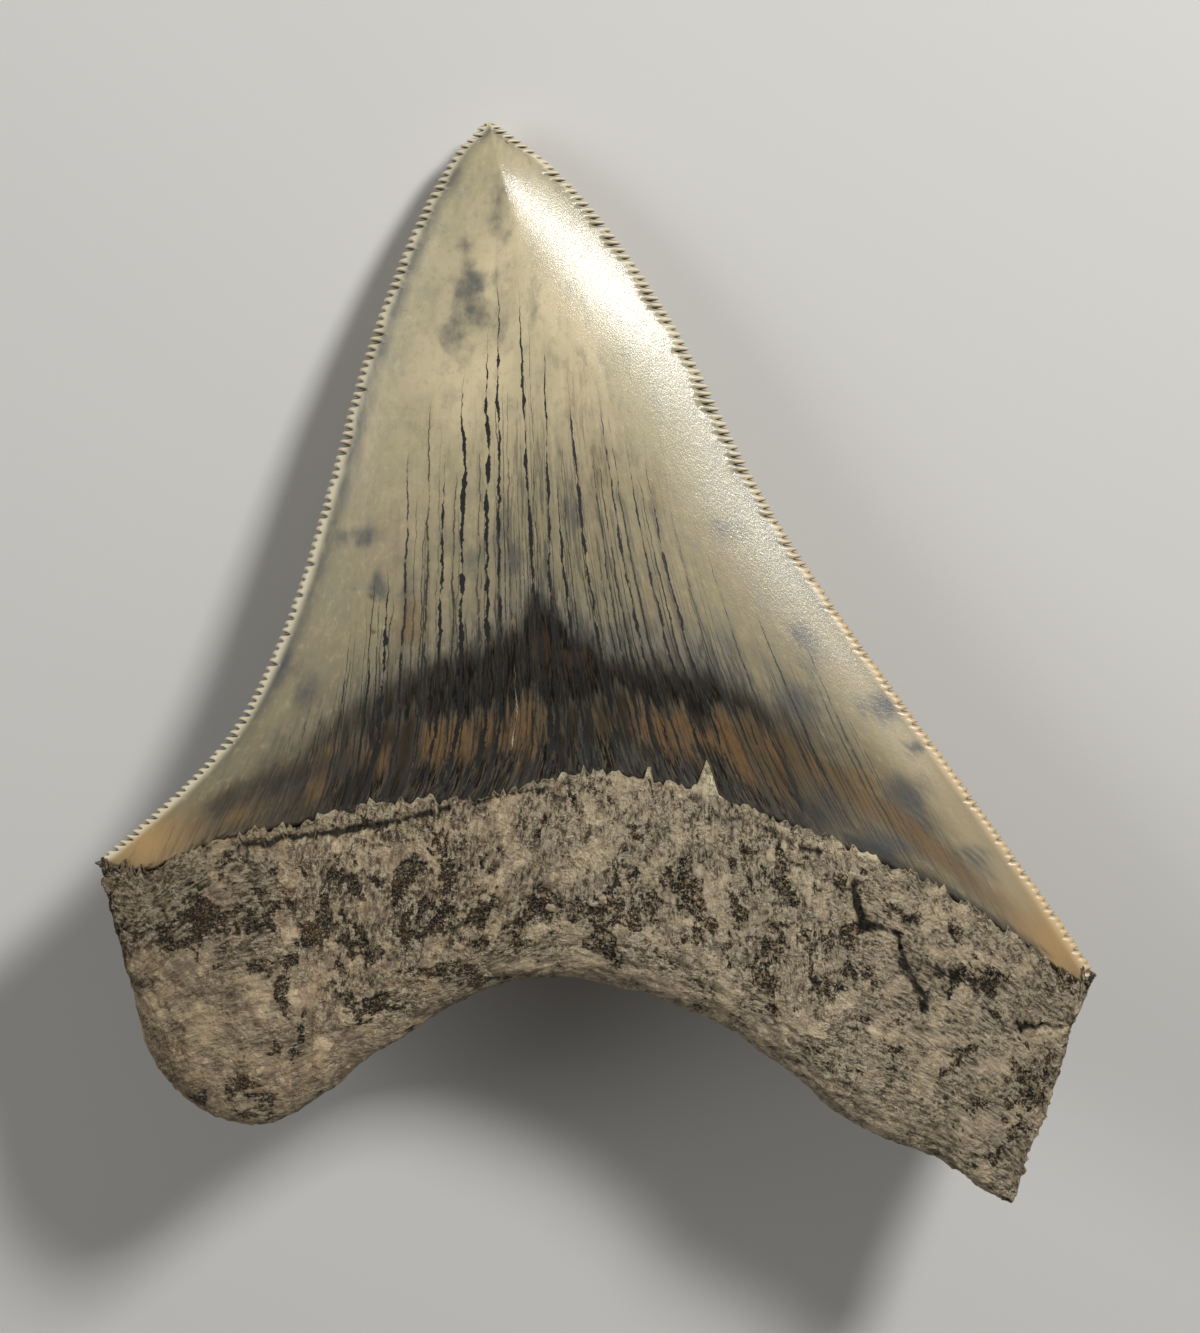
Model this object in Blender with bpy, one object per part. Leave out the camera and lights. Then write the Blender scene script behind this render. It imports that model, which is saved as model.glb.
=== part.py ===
"""A fossil megalodon tooth, lying on its lingual side with its labial face up.

Metres, +Z up. X runs across the base of the crown, +Y points along the crown to its tip, and the origin is
on the surface that the tooth rests on, under the middle of its box. The shapes are worked out in the
tooth's own plane in millimetres, seen from the labial side: x to the right, y up towards the tip, and z
out of the face.
"""

import math

import bmesh
import bpy
import numpy as np
from mathutils import Matrix, Vector, noise

MM = 0.001

# The outline, as points in millimetres from the tip of the crown.
LEFT_EDGE = [
    (0.0, 0.0), (-1.8, -1.6), (-3.8, -3.7), (-7.8, -11.2), (-12.5, -23.6), (-16.3, -37.2),
    (-19.6, -48.0), (-24.3, -58.5), (-30.2, -66.0), (-39.9, -74.5),
]
RIGHT_EDGE = [
    (0.0, 0.0), (3.2, -1.8), (7.2, -5.1), (12.7, -11.3), (19.5, -21.6), (27.2, -36.6),
    (34.1, -47.5), (41.4, -57.7), (49.0, -68.1), (57.7, -80.3), (61.3, -85.8),
]
ENAMEL_LINE = [
    (-39.9, -74.5), (-34.8, -75.3), (-27.5, -72.3), (-18.8, -70.5), (-11.8, -68.6), (-1.3, -68.2),
    (5.9, -66.2), (11.2, -65.4), (19.2, -66.8), (28.5, -69.9), (36.5, -73.2), (45.6, -77.4),
    (53.1, -82.2), (58.6, -86.2), (61.3, -85.8),
]
ROOT_OUTLINE = [
    (-39.9, -74.5), (-36.8, -78.4), (-37.1, -81.6), (-35.8, -87.0), (-34.7, -92.4), (-32.8, -95.9),
    (-29.6, -98.9), (-24.3, -100.8), (-18.8, -99.1), (-10.8, -93.2), (-1.3, -87.6), (8.2, -85.9),
    (20.2, -89.2), (29.2, -94.6), (36.7, -100.7), (45.2, -104.2), (51.6, -108.3), (53.0, -107.7),
    (55.2, -101.6), (58.3, -92.4), (58.0, -90.4), (61.3, -85.8),
]

# The crown's form, in millimetres. A camber is how far a wide face stands out between its cutting edges,
# and its reach is the width over which it gets there.
EDGE_DROP_AT_TIP, EDGE_DROP_AT_CORNERS = 2.0, 3.6
LABIAL_CAMBER, LABIAL_REACH = 3.2, 15.0
LINGUAL_CAMBER, LINGUAL_REACH = 13.0, 32.0
LABIAL_HOLLOW = 0.7
EDGE_BLUNTNESS, BLUNT_WIDTH = 0.35, 0.6
LINGUAL_BORDER_LIFT = 9.0

# The serrations: how many each row of the mesh has, how deep their notches are, and how far ribs run in.
SERRATIONS_IN_ROW = {"left": 5, "right": 6}
POINTS_ON_SERRATION = 3
NOTCH_DEPTH = 0.5
RIB_DEPTH, RIB_LENGTH = 0.12, 1.5

# The root's form, in millimetres. The equator is its outermost line, between the two faces.
ROOT_PROUD, RIM_WIDTH = 0.45, 0.3
EQUATOR_DROP = 6.2
LABIAL_SWELL = 0.9
LOBE_HUMP, MIDDLE_HUMP = 3.0, 7.4
HUMP_PLACE, HUMP_SPREAD = 0.5, 0.3
MIDDLE, MIDDLE_SPREAD = 0.47, 0.2
LABIAL_ROUND, LINGUAL_ROUND, BROKEN_ROUND = 3.4, 2.5, 7.0
BREAK_START, BREAK_END = 0.72, 0.84
LUMPS = [(5.0, 0.40), (2.4, 0.22)]

# Dents in the labial face of the root: x, y, radius and depth, in millimetres from the tip.
DENTS = [
    (57.0, -93.0, 4.5, 2.4), (52.5, -104.5, 4.0, 1.6), (40.0, -84.0, 3.0, 0.5), (-26.0, -79.0, 3.2, 0.7),
    (-17.0, -84.0, 3.5, 0.5), (4.0, -78.0, 3.0, 0.5), (17.0, -78.5, 3.5, 0.6), (31.0, -85.0, 4.0, 0.7),
    (44.0, -96.0, 4.5, 0.7), (-29.0, -90.0, 4.0, 0.4),
]
FORAMEN_OUT, FORAMEN_RADIUS, FORAMEN_DEPTH = 0.72, 2.2, 1.6

# How it lies: its plane slopes down to the tip, which just clears the surface, and it rests on a worn flat
# at the back of the root, about 0.9 mm deep.
LYING_SLOPE = math.radians(13.4)
TIP_CLEARANCE = 0.02

# The mesh: rows down the crown, columns across it, columns and rings of the root.
CROWN_ROWS, CROWN_COLUMNS = 21, 14
BAND_WIDTH, BAND_SHARE = 1.5, 0.2
COLUMNS_SPLIT = 5
ROOT_RINGS = 13

ENAMEL_COLOUR = (0.50, 0.46, 0.33, 1.0)
ROOT_COLOUR = (0.20, 0.17, 0.13, 1.0)


def smooth_path(points, fractions):
    """Points at these fractions of the length of the smooth curve through the given points."""
    p = np.array(points, float)
    p = np.vstack([2 * p[0] - p[1], p, 2 * p[-1] - p[-2]])
    u = np.linspace(0, 1, 24, endpoint=False)[:, None]
    spans = []
    for a, b, c, d in zip(p, p[1:], p[2:], p[3:]):
        bend = 2 * a - 5 * b + 4 * c - d + u * (3 * (b - c) + d - a)
        spans.append(b + 0.5 * u * (c - a + u * bend))
    line = np.vstack([*spans, p[-2:-1]])
    steps = np.linalg.norm(np.diff(line, axis=0), axis=1)
    length = np.concatenate([[0], np.cumsum(steps)])
    wanted = np.clip(fractions, 0, 1) * length[-1]
    return np.stack([np.interp(wanted, length, line[:, k]) for k in (0, 1)], axis=-1)


def smooth_step(low, high, value):
    share = np.clip((value - low) / (high - low), 0, 1)
    return share * share * (3 - 2 * share)


def roof(across, power):
    """0 at both ends of a width, 1 in its middle. A higher power makes it flatter."""
    return 1 - np.abs(2 * across - 1) ** power


def crown_width(down):
    return np.linalg.norm(smooth_path(RIGHT_EDGE, down) - smooth_path(LEFT_EDGE, down), axis=-1)


def column_place(column, down):
    """How far across the crown a column of the mesh is: the outer two keep close to the cutting edges."""
    band = np.minimum(BAND_WIDTH / np.maximum(crown_width(down), 1e-6), BAND_SHARE)
    outer = 1 / CROWN_COLUMNS
    inner = (column - outer) / (1 - 2 * outer) * (1 - 2 * band) + band
    place = np.where(column < outer, column / outer * band, inner)
    return np.where(column > 1 - outer, 1 - (1 - column) / outer * band, place)


def enamel_line(across, lingual):
    """The lower edge of the enamel, which stands higher on the lingual side."""
    line = smooth_path(ENAMEL_LINE, across)
    if lingual:
        line[..., 1] += LINGUAL_BORDER_LIFT * roof(across, 1.4)
    return line


def crown_points(across, down, lingual):
    """Points of a face of the crown, across from the left edge to the right and down from the tip."""
    left = smooth_path(LEFT_EDGE, down)
    right = smooth_path(RIGHT_EDGE, down)
    width = np.maximum(np.linalg.norm(right - left, axis=-1), 1e-6)
    share = across[:, None]
    corners = np.array([LEFT_EDGE[-1], RIGHT_EDGE[-1]])
    straight = corners[0] + (corners[1] - corners[0]) * share
    plan = left + (right - left) * share
    plan += (enamel_line(across, lingual) - straight) * (down**3)[:, None]

    on_left = across < 0.5
    inward = np.minimum(across, 1 - across) * width
    count = np.where(on_left, SERRATIONS_IN_ROW["left"], SERRATIONS_IN_ROW["right"]) * CROWN_ROWS
    side = 2 * np.modf(down * count + 1e-6)[0] - 1
    notch = (1 - np.sqrt(np.clip(1 - side * side, 0, 1))) * np.clip(1 - inward / RIB_LENGTH, 0, 1)
    notch *= smooth_step(0, 2 * NOTCH_DEPTH, width)
    into = np.where(on_left, 1, -1) * notch * NOTCH_DEPTH / width
    plan += (right - left) * into[:, None]

    edge = -EDGE_DROP_AT_TIP - (EDGE_DROP_AT_CORNERS - EDGE_DROP_AT_TIP) * down**2
    blunt = np.clip(inward / BLUNT_WIDTH, 0, 1)
    blunt = EDGE_BLUNTNESS * np.sqrt(blunt * (2 - blunt)) * smooth_step(0, 8, width)
    body = np.where(inward > 0, blunt - RIB_DEPTH * notch, 0)
    if lingual:
        body += LINGUAL_CAMBER * (1 - np.exp(-width / LINGUAL_REACH)) * roof(across, 2)
        return np.column_stack([plan, edge - body])
    ridge = roof(across, 1.15 + 0.85 * smooth_step(0.05, 0.3, down))
    body += LABIAL_CAMBER * (1 - np.exp(-width / LABIAL_REACH)) * ridge
    body -= LABIAL_HOLLOW * np.exp(-(((down - 0.88) / 0.12) ** 2)) * ridge**2
    return np.column_stack([plan, edge + body])


def root_points(column, out, on_rim, lingual):
    """Points of a face of the root, out from the enamel line to the equator."""
    border_place = column_place(column, np.ones_like(column))
    border = crown_points(border_place, np.ones_like(column), lingual)
    plan = border[:, :2] + (smooth_path(ROOT_OUTLINE, column) - border[:, :2]) * out[:, None]

    inside = roof(column, 24)
    equator = -EDGE_DROP_AT_CORNERS - (EQUATOR_DROP - EDGE_DROP_AT_CORNERS) * roof(column, 10)
    broken = smooth_step(BREAK_START, BREAK_END, column)
    whole_round = LINGUAL_ROUND if lingual else LABIAL_ROUND
    power = whole_round + (BROKEN_ROUND - whole_round) * broken
    rounding = np.clip(1 - out**power, 0, 1) ** (1 / power)
    swell = np.sin(math.pi * np.clip(out, 0, 1)) * inside
    if lingual:
        middle = np.exp(-(((column - MIDDLE) / MIDDLE_SPREAD) ** 2))
        hump = LOBE_HUMP + (MIDDLE_HUMP - LOBE_HUMP) * middle
        hump = hump * np.exp(-(((out - HUMP_PLACE) / HUMP_SPREAD) ** 2)) * inside
        body = equator - border[:, 2] + ROOT_PROUD * on_rim * inside + hump
        return np.column_stack([plan, equator - body * rounding])
    body = border[:, 2] - equator + ROOT_PROUD * on_rim * inside + LABIAL_SWELL * swell
    height = equator + body * rounding
    for x, y, radius, depth in DENTS:
        away = np.hypot(plan[:, 0] - x, plan[:, 1] - y) / radius
        height -= depth * np.exp(-(away**2)) * rounding * on_rim
    return np.column_stack([plan, height])


def grid(columns, rows):
    """A flat grid of faces from (0, 0) to (1, 1)."""
    bm = bmesh.new()
    bmesh.ops.create_grid(bm, x_segments=columns, y_segments=rows, size=0.5)
    bmesh.ops.translate(bm, verts=bm.verts, vec=(0.5, 0.5, 0))
    return bm


def cut_edges(bm, cuts, wanted):
    edges = [edge for edge in bm.edges if wanted(*(vert.co for vert in edge.verts))]
    bmesh.ops.subdivide_edges(bm, edges=edges, cuts=cuts, use_grid_fill=True)


def crown_face(lingual):
    """One face of the crown. Its outer columns are cut finer, for the serrations."""
    bm = grid(CROWN_COLUMNS, CROWN_ROWS)
    outer = 1.01 / CROWN_COLUMNS
    for side, low, high in (("left", -1, outer), ("right", 1 - outer, 2)):
        cut_edges(
            bm,
            SERRATIONS_IN_ROW[side] * POINTS_ON_SERRATION - 1,
            lambda a, b: abs(a.x - b.x) < 1e-5 and low < a.x < high,
        )
    cut_edges(bm, COLUMNS_SPLIT - 1, lambda a, b: min(a.y, b.y) > 1 - 1e-5)
    flat = np.array([vert.co for vert in bm.verts], float)
    down = np.clip(flat[:, 1], 0, 1)
    place(bm, crown_points(column_place(np.clip(flat[:, 0], 0, 1), down), down, lingual))
    return bm


def root_face(lingual):
    """One face of the root: the first ring makes the step up from the enamel."""
    bm = grid(CROWN_COLUMNS * COLUMNS_SPLIT, ROOT_RINGS + 1)
    flat = np.array([vert.co for vert in bm.verts], float)
    column = np.clip(flat[:, 0], 0, 1)
    ring = np.round(flat[:, 1] * (ROOT_RINGS + 1))
    out = 1 - (1 - np.maximum(ring - 1, 0) / ROOT_RINGS) ** 1.4
    outline = smooth_path(ROOT_OUTLINE, column)
    border = enamel_line(column_place(column, np.ones_like(column)), lingual)
    far = np.maximum(np.linalg.norm(outline - border, axis=1), RIM_WIDTH)
    out = np.where(ring == 1, RIM_WIDTH / far, out)
    place(bm, root_points(column, out, ring > 0, lingual))
    return bm


def place(bm, points):
    for vert, point in zip(bm.verts, points):
        vert.co = point


def add_part(whole, bm, slot, faces_down):
    """Add a face of the crown or root to the whole tooth."""
    for face in bm.faces:
        face.material_index = slot
    bm.normal_update()
    up = sum(face.normal.z * face.calc_area() for face in bm.faces) > 0
    if up == faces_down:
        bmesh.ops.reverse_faces(bm, faces=bm.faces)
    mesh = bpy.data.meshes.new("face")
    bm.to_mesh(mesh)
    bm.free()
    whole.from_mesh(mesh)
    bpy.data.meshes.remove(mesh)


def is_root(vert):
    return all(face.material_index == 1 for face in vert.link_faces)


def roughen_root(bm):
    """Lumps all over the root, along its surface's normals, and the hole of its blood vessel at the back."""
    bm.normal_update()
    column = np.array([MIDDLE])
    foramen = Vector(root_points(column, np.array([FORAMEN_OUT]), 1, True)[0])
    moves = []
    for vert in filter(is_root, bm.verts):
        lump = sum(noise.noise(vert.co / size) * height for size, height in LUMPS)
        hole = FORAMEN_DEPTH * math.exp(-(((vert.co - foramen).length / FORAMEN_RADIUS) ** 2))
        moves.append((vert, vert.normal * (lump - hole)))
    for vert, move in moves:
        vert.co += move


def lie_down(bm):
    """Turn the corners of the crown level, lay the tooth on its back, and cut the worn flat it rests on."""
    corner_rise = LEFT_EDGE[-1][1] - RIGHT_EDGE[-1][1]
    corner_span = RIGHT_EDGE[-1][0] - LEFT_EDGE[-1][0]
    level = Matrix.Rotation(math.atan2(corner_rise, corner_span), 4, "Z")
    slope = Matrix.Rotation(-LYING_SLOPE, 4, "X")
    bmesh.ops.transform(bm, matrix=slope @ level, verts=bm.verts)
    floor = min(vert.co.z for vert in bm.verts if not is_root(vert)) - TIP_CLEARANCE
    low_x, high_x = (f(vert.co.x for vert in bm.verts) for f in (min, max))
    low_y, high_y = (f(vert.co.y for vert in bm.verts) for f in (min, max))
    middle = Vector(((low_x + high_x) / 2, (low_y + high_y) / 2, floor))
    bmesh.ops.translate(bm, verts=bm.verts, vec=-middle)
    everything = [*bm.verts, *bm.edges, *bm.faces]
    bmesh.ops.bisect_plane(bm, geom=everything, dist=1e-4, plane_no=(0, 0, -1), clear_outer=True)
    flat = bmesh.ops.holes_fill(bm, edges=[edge for edge in bm.edges if edge.is_boundary])
    for face in flat["faces"]:
        face.material_index = 1


def material(name, colour, roughness):
    made = bpy.data.materials.new(name)
    made.use_nodes = True
    shader = made.node_tree.nodes["Principled BSDF"]
    shader.inputs["Base Color"].default_value = colour
    shader.inputs["Roughness"].default_value = roughness
    shader.inputs["Metallic"].default_value = 0.0
    return made


def make_tooth():
    tooth = bmesh.new()
    for lingual in (False, True):
        add_part(tooth, crown_face(lingual), 0, lingual)
        add_part(tooth, root_face(lingual), 1, lingual)
    bmesh.ops.remove_doubles(tooth, verts=tooth.verts, dist=0.001)
    roughen_root(tooth)
    lie_down(tooth)
    bmesh.ops.triangulate(tooth, faces=tooth.faces)
    bmesh.ops.scale(tooth, verts=tooth.verts, vec=(MM, MM, MM))
    mesh = bpy.data.meshes.new("megalodon_tooth")
    tooth.to_mesh(mesh)
    tooth.free()
    mesh.materials.append(material("enamel", ENAMEL_COLOUR, 0.25))
    mesh.materials.append(material("root", ROOT_COLOUR, 0.85))
    mesh.shade_smooth()
    mesh.set_sharp_from_angle(angle=math.radians(50))
    bpy.context.collection.objects.link(bpy.data.objects.new("megalodon_tooth", mesh))


for old in list(bpy.data.objects):
    bpy.data.objects.remove(old)
make_tooth()
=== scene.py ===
# %% [markdown]
# # A fossil megalodon tooth
# A tooth like this is one piece with two very different skins. The crown is a blade of enamel, glossy and
# almost smooth, with a saw edge down both sides. The root is fossil bone, rough, flaked and mottled. It lies
# on its back, so the flat face that was towards the lip looks up. One way to dress it would be a single
# fine mesh, but the two skins need very different meshes: rows fine enough for every serration on the
# crown, and an even, dense skin to sculpt on the root. So two meshes are made, which meet at the root's rim.

# %% Load the model that the tooth has to fit
import math
from types import SimpleNamespace

import bmesh
import bpy
import numpy as np
from mathutils import Matrix, Vector, noise


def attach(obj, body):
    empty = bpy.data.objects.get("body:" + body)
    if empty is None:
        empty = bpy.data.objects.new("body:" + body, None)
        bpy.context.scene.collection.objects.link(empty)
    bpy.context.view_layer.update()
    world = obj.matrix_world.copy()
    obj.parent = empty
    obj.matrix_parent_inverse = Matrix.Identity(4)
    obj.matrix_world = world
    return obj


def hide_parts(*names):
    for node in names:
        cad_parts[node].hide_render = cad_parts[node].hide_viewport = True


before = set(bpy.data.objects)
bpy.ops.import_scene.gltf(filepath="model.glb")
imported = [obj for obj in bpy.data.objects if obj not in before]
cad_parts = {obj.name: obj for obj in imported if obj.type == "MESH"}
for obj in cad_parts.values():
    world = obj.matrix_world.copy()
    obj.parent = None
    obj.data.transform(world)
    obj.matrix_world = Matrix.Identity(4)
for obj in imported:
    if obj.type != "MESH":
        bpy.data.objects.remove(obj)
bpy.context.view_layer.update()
NODE = "megalodon_tooth"
MM = 0.001

# %% [markdown]
# ## The tooth's own plane
# A tooth is easiest to describe face on: x to the right, y towards the tip and z out of the face, in
# millimetres from the tip. In the model it lies on a surface, so its plane is turned until the crown's two
# corners are level and then tilted, and the tip is carried to the tip of the model. One matrix does all of
# this, and every point of the new meshes goes through it.

# %% Find the tip of the model and the way from the tooth's plane to it
LYING_SLOPE = math.radians(13.4)
EDGE_DROP_AT_TIP, EDGE_DROP_AT_CORNERS = 2.0, 3.6

LEFT_EDGE = [
    (0.0, 0.0), (-0.8, -0.3), (-1.8, -1.5), (-3.8, -3.7), (-7.8, -11.2), (-12.5, -23.6), (-16.3, -37.2),
    (-19.6, -48.0), (-24.3, -58.5), (-30.2, -66.0), (-39.9, -74.5),
]
RIGHT_EDGE = [
    (0.0, 0.0), (1.0, -0.3), (3.2, -1.8), (7.2, -5.1), (12.7, -11.3), (19.5, -21.6), (27.2, -36.6),
    (34.1, -47.5), (41.4, -57.7), (49.0, -68.1), (57.7, -80.3), (61.3, -85.8),
]
corner_rise = LEFT_EDGE[-1][1] - RIGHT_EDGE[-1][1]
corner_span = RIGHT_EDGE[-1][0] - LEFT_EDGE[-1][0]
lean = math.atan2(corner_rise, corner_span)
turn = Matrix.Rotation(-LYING_SLOPE, 4, "X") @ Matrix.Rotation(lean, 4, "Z")
model_tip = max((vert.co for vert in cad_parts[NODE].data.vertices), key=lambda co: co.y)
own_tip = turn @ Vector((0, 0, -EDGE_DROP_AT_TIP))
to_model = Matrix.Translation(model_tip - own_tip * MM) @ Matrix.Scale(MM, 4) @ turn
print("the crown leans by", round(math.degrees(lean), 1), "degrees; its tip is at", model_tip)

# %% [markdown]
# ## Curves through a few points
# Both cutting edges, the lower line of the enamel and the outline of the root are smooth curves through a
# few points. A Catmull-Rom curve passes through its points, which a Bezier or a B-spline curve doesn't do
# by itself, so each number below is a place on the real outline. The curve is then read by length, which
# keeps the serrations evenly spaced.

# %% Read a smooth curve by its length
ENAMEL_LINE = [
    (-39.9, -74.5), (-34.8, -75.3), (-27.5, -72.3), (-18.8, -70.5), (-11.8, -68.6), (-1.3, -68.2),
    (5.9, -66.2), (11.2, -65.4), (19.2, -66.8), (28.5, -69.9), (36.5, -73.2), (45.6, -77.4),
    (53.1, -82.2), (58.6, -86.2), (61.3, -85.8),
]
ROOT_OUTLINE = [
    (-39.9, -74.5), (-36.8, -78.4), (-37.1, -81.6), (-35.8, -87.0), (-34.7, -92.4), (-32.8, -95.9),
    (-29.6, -98.9), (-24.3, -100.8), (-18.8, -99.1), (-10.8, -93.2), (-1.3, -87.6), (8.2, -85.9),
    (20.2, -89.2), (29.2, -94.6), (36.7, -100.7), (45.2, -104.2), (51.6, -108.3), (53.0, -107.7),
    (55.2, -101.6), (58.3, -92.4), (58.0, -90.4), (61.3, -85.8),
]
STEPS_ON_SPAN = 24


def smooth_path(points, fractions):
    """Places on the smooth curve through the points, at these fractions of its length."""
    p = np.array(points, float)
    p = np.vstack([2 * p[0] - p[1], p, 2 * p[-1] - p[-2]])
    u = np.linspace(0, 1, STEPS_ON_SPAN, endpoint=False)[:, None]
    spans = []
    for a, b, c, d in zip(p, p[1:], p[2:], p[3:]):
        bend = 2 * a - 5 * b + 4 * c - d + u * (3 * (b - c) + d - a)
        spans.append(b + 0.5 * u * (c - a + u * bend))
    line = np.vstack([*spans, p[-2:-1]])
    steps = np.linalg.norm(np.diff(line, axis=0), axis=1)
    length = np.concatenate([[0], np.cumsum(steps)])
    wanted = np.clip(fractions, 0, 1) * length[-1]
    return np.stack([np.interp(wanted, length, line[:, k]) for k in (0, 1)], axis=-1)


# %% Two forms that are used all over: a soft step and a roof
def smooth_step(low, high, value):
    """0 up to low and 1 from high on, or the other way round if low is above high."""
    share = np.clip((value - low) / (high - low), 0, 1)
    return share * share * (3 - 2 * share)


def roof(across, power):
    """1 in the middle and 0 at both sides. A higher power makes the roof flatter and its sides steeper."""
    return 1 - np.abs(2 * across - 1) ** power


# %% Follow the line where the enamel ends
LINGUAL_BORDER_LIFT, LINGUAL_BORDER_POWER = 9.0, 1.4


def enamel_line(across, lingual):
    line = smooth_path(ENAMEL_LINE, across)
    if lingual:
        line[..., 1] += LINGUAL_BORDER_LIFT * roof(across, LINGUAL_BORDER_POWER)
    return line


def above_enamel_line(plan, lingual):
    line = enamel_line(np.linspace(0, 1, 300), lingual)
    return plan[:, 1] - np.interp(plan[:, 0], line[:, 0], line[:, 1])


apex = smooth_path(ENAMEL_LINE, np.array([0.5]))[0]
print("the middle of the enamel line is", np.round(-apex[1], 1), "mm below the tip")

# %% [markdown]
# ## The crown
# The crown could be cut from a block or lofted from sections. Here each of its two faces is a grid whose
# columns run from the tip down to the root and whose rows run from edge to edge, and a formula gives each
# grid point its place: nearly flat on the labial face, deeply arched on the lingual one, and both thin out
# to the same sharp edge. The outer columns are subdivided before they are placed, so that each serration
# gets eight rows and comes out as a round bead, while the smooth middle stays light.

# %% Find both cutting edges at each height
def crown_frame(across, down):
    """Both cutting edges at this height, the width between them, and the distance to the nearer one."""
    left = smooth_path(LEFT_EDGE, down)
    right = smooth_path(RIGHT_EDGE, down)
    width = np.maximum(np.linalg.norm(right - left, axis=-1), 1e-6)
    inward = np.minimum(across, 1 - across) * width
    return left, right, width, inward


# %% Cut the notches between the serrations
SERRATIONS = {"left": 105, "right": 126}
RIB_LENGTH = {"left": 1.1, "right": 1.6}
LOWER_RIB_LENGTH = 0.8


def wobble(values, seed):
    """Smooth noise along a line, about -1 to 1."""
    return np.array([noise.noise(Vector((v, seed, 0.5 * seed))) for v in values])


def depth_of_notches(down, position, on_left):
    """Notches differ: their depth drifts and varies along the edge, and is less low on the right."""
    own_number = np.floor(position + 0.5)
    drift = wobble(position / 3.1 + 40 * on_left, 3.0)
    depth = 1 + 0.5 * drift + 0.35 * np.sin(own_number * 12.9 + 7.0 * own_number**2)
    worn_down = smooth_step(0.4, 0.85, down) * (~on_left)
    return depth * (1 - (0.4 + 0.3 * np.sin(own_number * 2.3)) * worn_down)


def notches(across, down, inward, width):
    """About 1 in the notch between two serrations, 0 on top of each and away from the cutting edges."""
    on_left = across < 0.5
    position = down * np.where(on_left, SERRATIONS["left"], SERRATIONS["right"])
    depth = depth_of_notches(down, position, on_left)
    side = 2 * np.modf(position + 1e-6)[0] - 1
    notch = 0.5 * side * side + 0.5 * (1 - np.sqrt(np.clip(1 - side * side, 0, 1)))
    notch *= np.clip(depth, 0.25, 1.6)
    length = np.where(on_left, RIB_LENGTH["left"], RIB_LENGTH["right"])
    length += (LOWER_RIB_LENGTH - length) * smooth_step(0.3, 0.6, down)
    length *= np.clip(depth, 0.6, 1.3)
    return notch * smooth_step(length, 0.2, inward) * smooth_step(0, 3, width)


# %% Say where each point of the crown is
LABIAL_CAMBER, LABIAL_REACH = 3.2, 15.0
TIP_FLATNESS, TIP_WIDTH = 0.46, 14.0
LINGUAL_CAMBER, LINGUAL_REACH = 13.0, 32.0
LABIAL_HOLLOW, HOLLOW_PLACE, HOLLOW_SPREAD = 0.7, 0.88, 0.12
RIDGE_POWER, RIDGE_ROUNDING = 1.15, 0.85
EDGE_BLUNTNESS, BLUNT_WIDTH = 0.42, 0.6
NOTCH_DEPTH = 0.75
RIB_DEPTH = 0.42


def crown_points(across, down, lingual):
    left, right, width, inward = crown_frame(across, down)
    share = across[:, None]
    corners = np.array([LEFT_EDGE[-1], RIGHT_EDGE[-1]])
    straight = corners[0] + (corners[1] - corners[0]) * share
    plan = left + (right - left) * share
    plan += (enamel_line(across, lingual) - straight) * (down**3)[:, None]

    notch = notches(across, down, inward, width)
    into = np.where(across < 0.5, 1, -1) * notch * NOTCH_DEPTH / width
    plan += (right - left) * into[:, None]

    edge = -EDGE_DROP_AT_TIP - (EDGE_DROP_AT_CORNERS - EDGE_DROP_AT_TIP) * down**2
    blunt = np.clip(inward / BLUNT_WIDTH, 0, 1)
    blunt = EDGE_BLUNTNESS * np.sqrt(blunt * (2 - blunt)) * smooth_step(0, 8, width)
    body = np.where(inward > 0, blunt - RIB_DEPTH * notch, 0)
    if lingual:
        body += LINGUAL_CAMBER * (1 - np.exp(-width / LINGUAL_REACH)) * roof(across, 2)
        return np.column_stack([plan, edge - body])
    ridge = roof(across, RIDGE_POWER + RIDGE_ROUNDING * smooth_step(0.05, 0.3, down))
    flatter = 1 - TIP_FLATNESS * smooth_step(TIP_WIDTH, 0, width)
    body += LABIAL_CAMBER * (1 - np.exp(-width / LABIAL_REACH)) * ridge * flatter
    body -= LABIAL_HOLLOW * np.exp(-(((down - HOLLOW_PLACE) / HOLLOW_SPREAD) ** 2)) * ridge**2
    return np.column_stack([plan, edge + body])


# %% Make a grid, and subdivide it only where the serrations are
CROWN_ROWS = 84
CROWN_COLUMNS, BAND_COLUMNS = 64, 6
BAND_WIDTH, BAND_SHARE, BAND_CROWDING = 1.8, 0.3, 1.3
ROWS_ON_SERRATION = 8
NEARLY_NOTHING = 1e-5


def grid(columns, rows):
    """A flat grid over the square from 0 to 1."""
    bm = bmesh.new()
    bmesh.ops.create_grid(bm, x_segments=columns, y_segments=rows, size=0.5)
    bmesh.ops.translate(bm, verts=bm.verts, vec=(0.5, 0.5, 0))
    return bm


def places_of(bm):
    flat = np.array([vert.co for vert in bm.verts], float)
    return np.clip(flat[:, 0], 0, 1), np.clip(flat[:, 1], 0, 1)


def column_place(column, down):
    """How far across the crown a column is: the outer ones keep within a narrow band at the edges."""
    width = crown_frame(column, down)[2]
    band = np.minimum(BAND_WIDTH / width, BAND_SHARE)
    outer = BAND_COLUMNS / CROWN_COLUMNS
    near = np.minimum(column, 1 - column)
    inner = (near - outer) / (1 - 2 * outer) * (1 - 2 * band) + band
    share = np.where(near < outer, (near / outer) ** BAND_CROWDING * band, inner)
    return np.where(column < 0.5, share, 1 - share)


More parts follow.
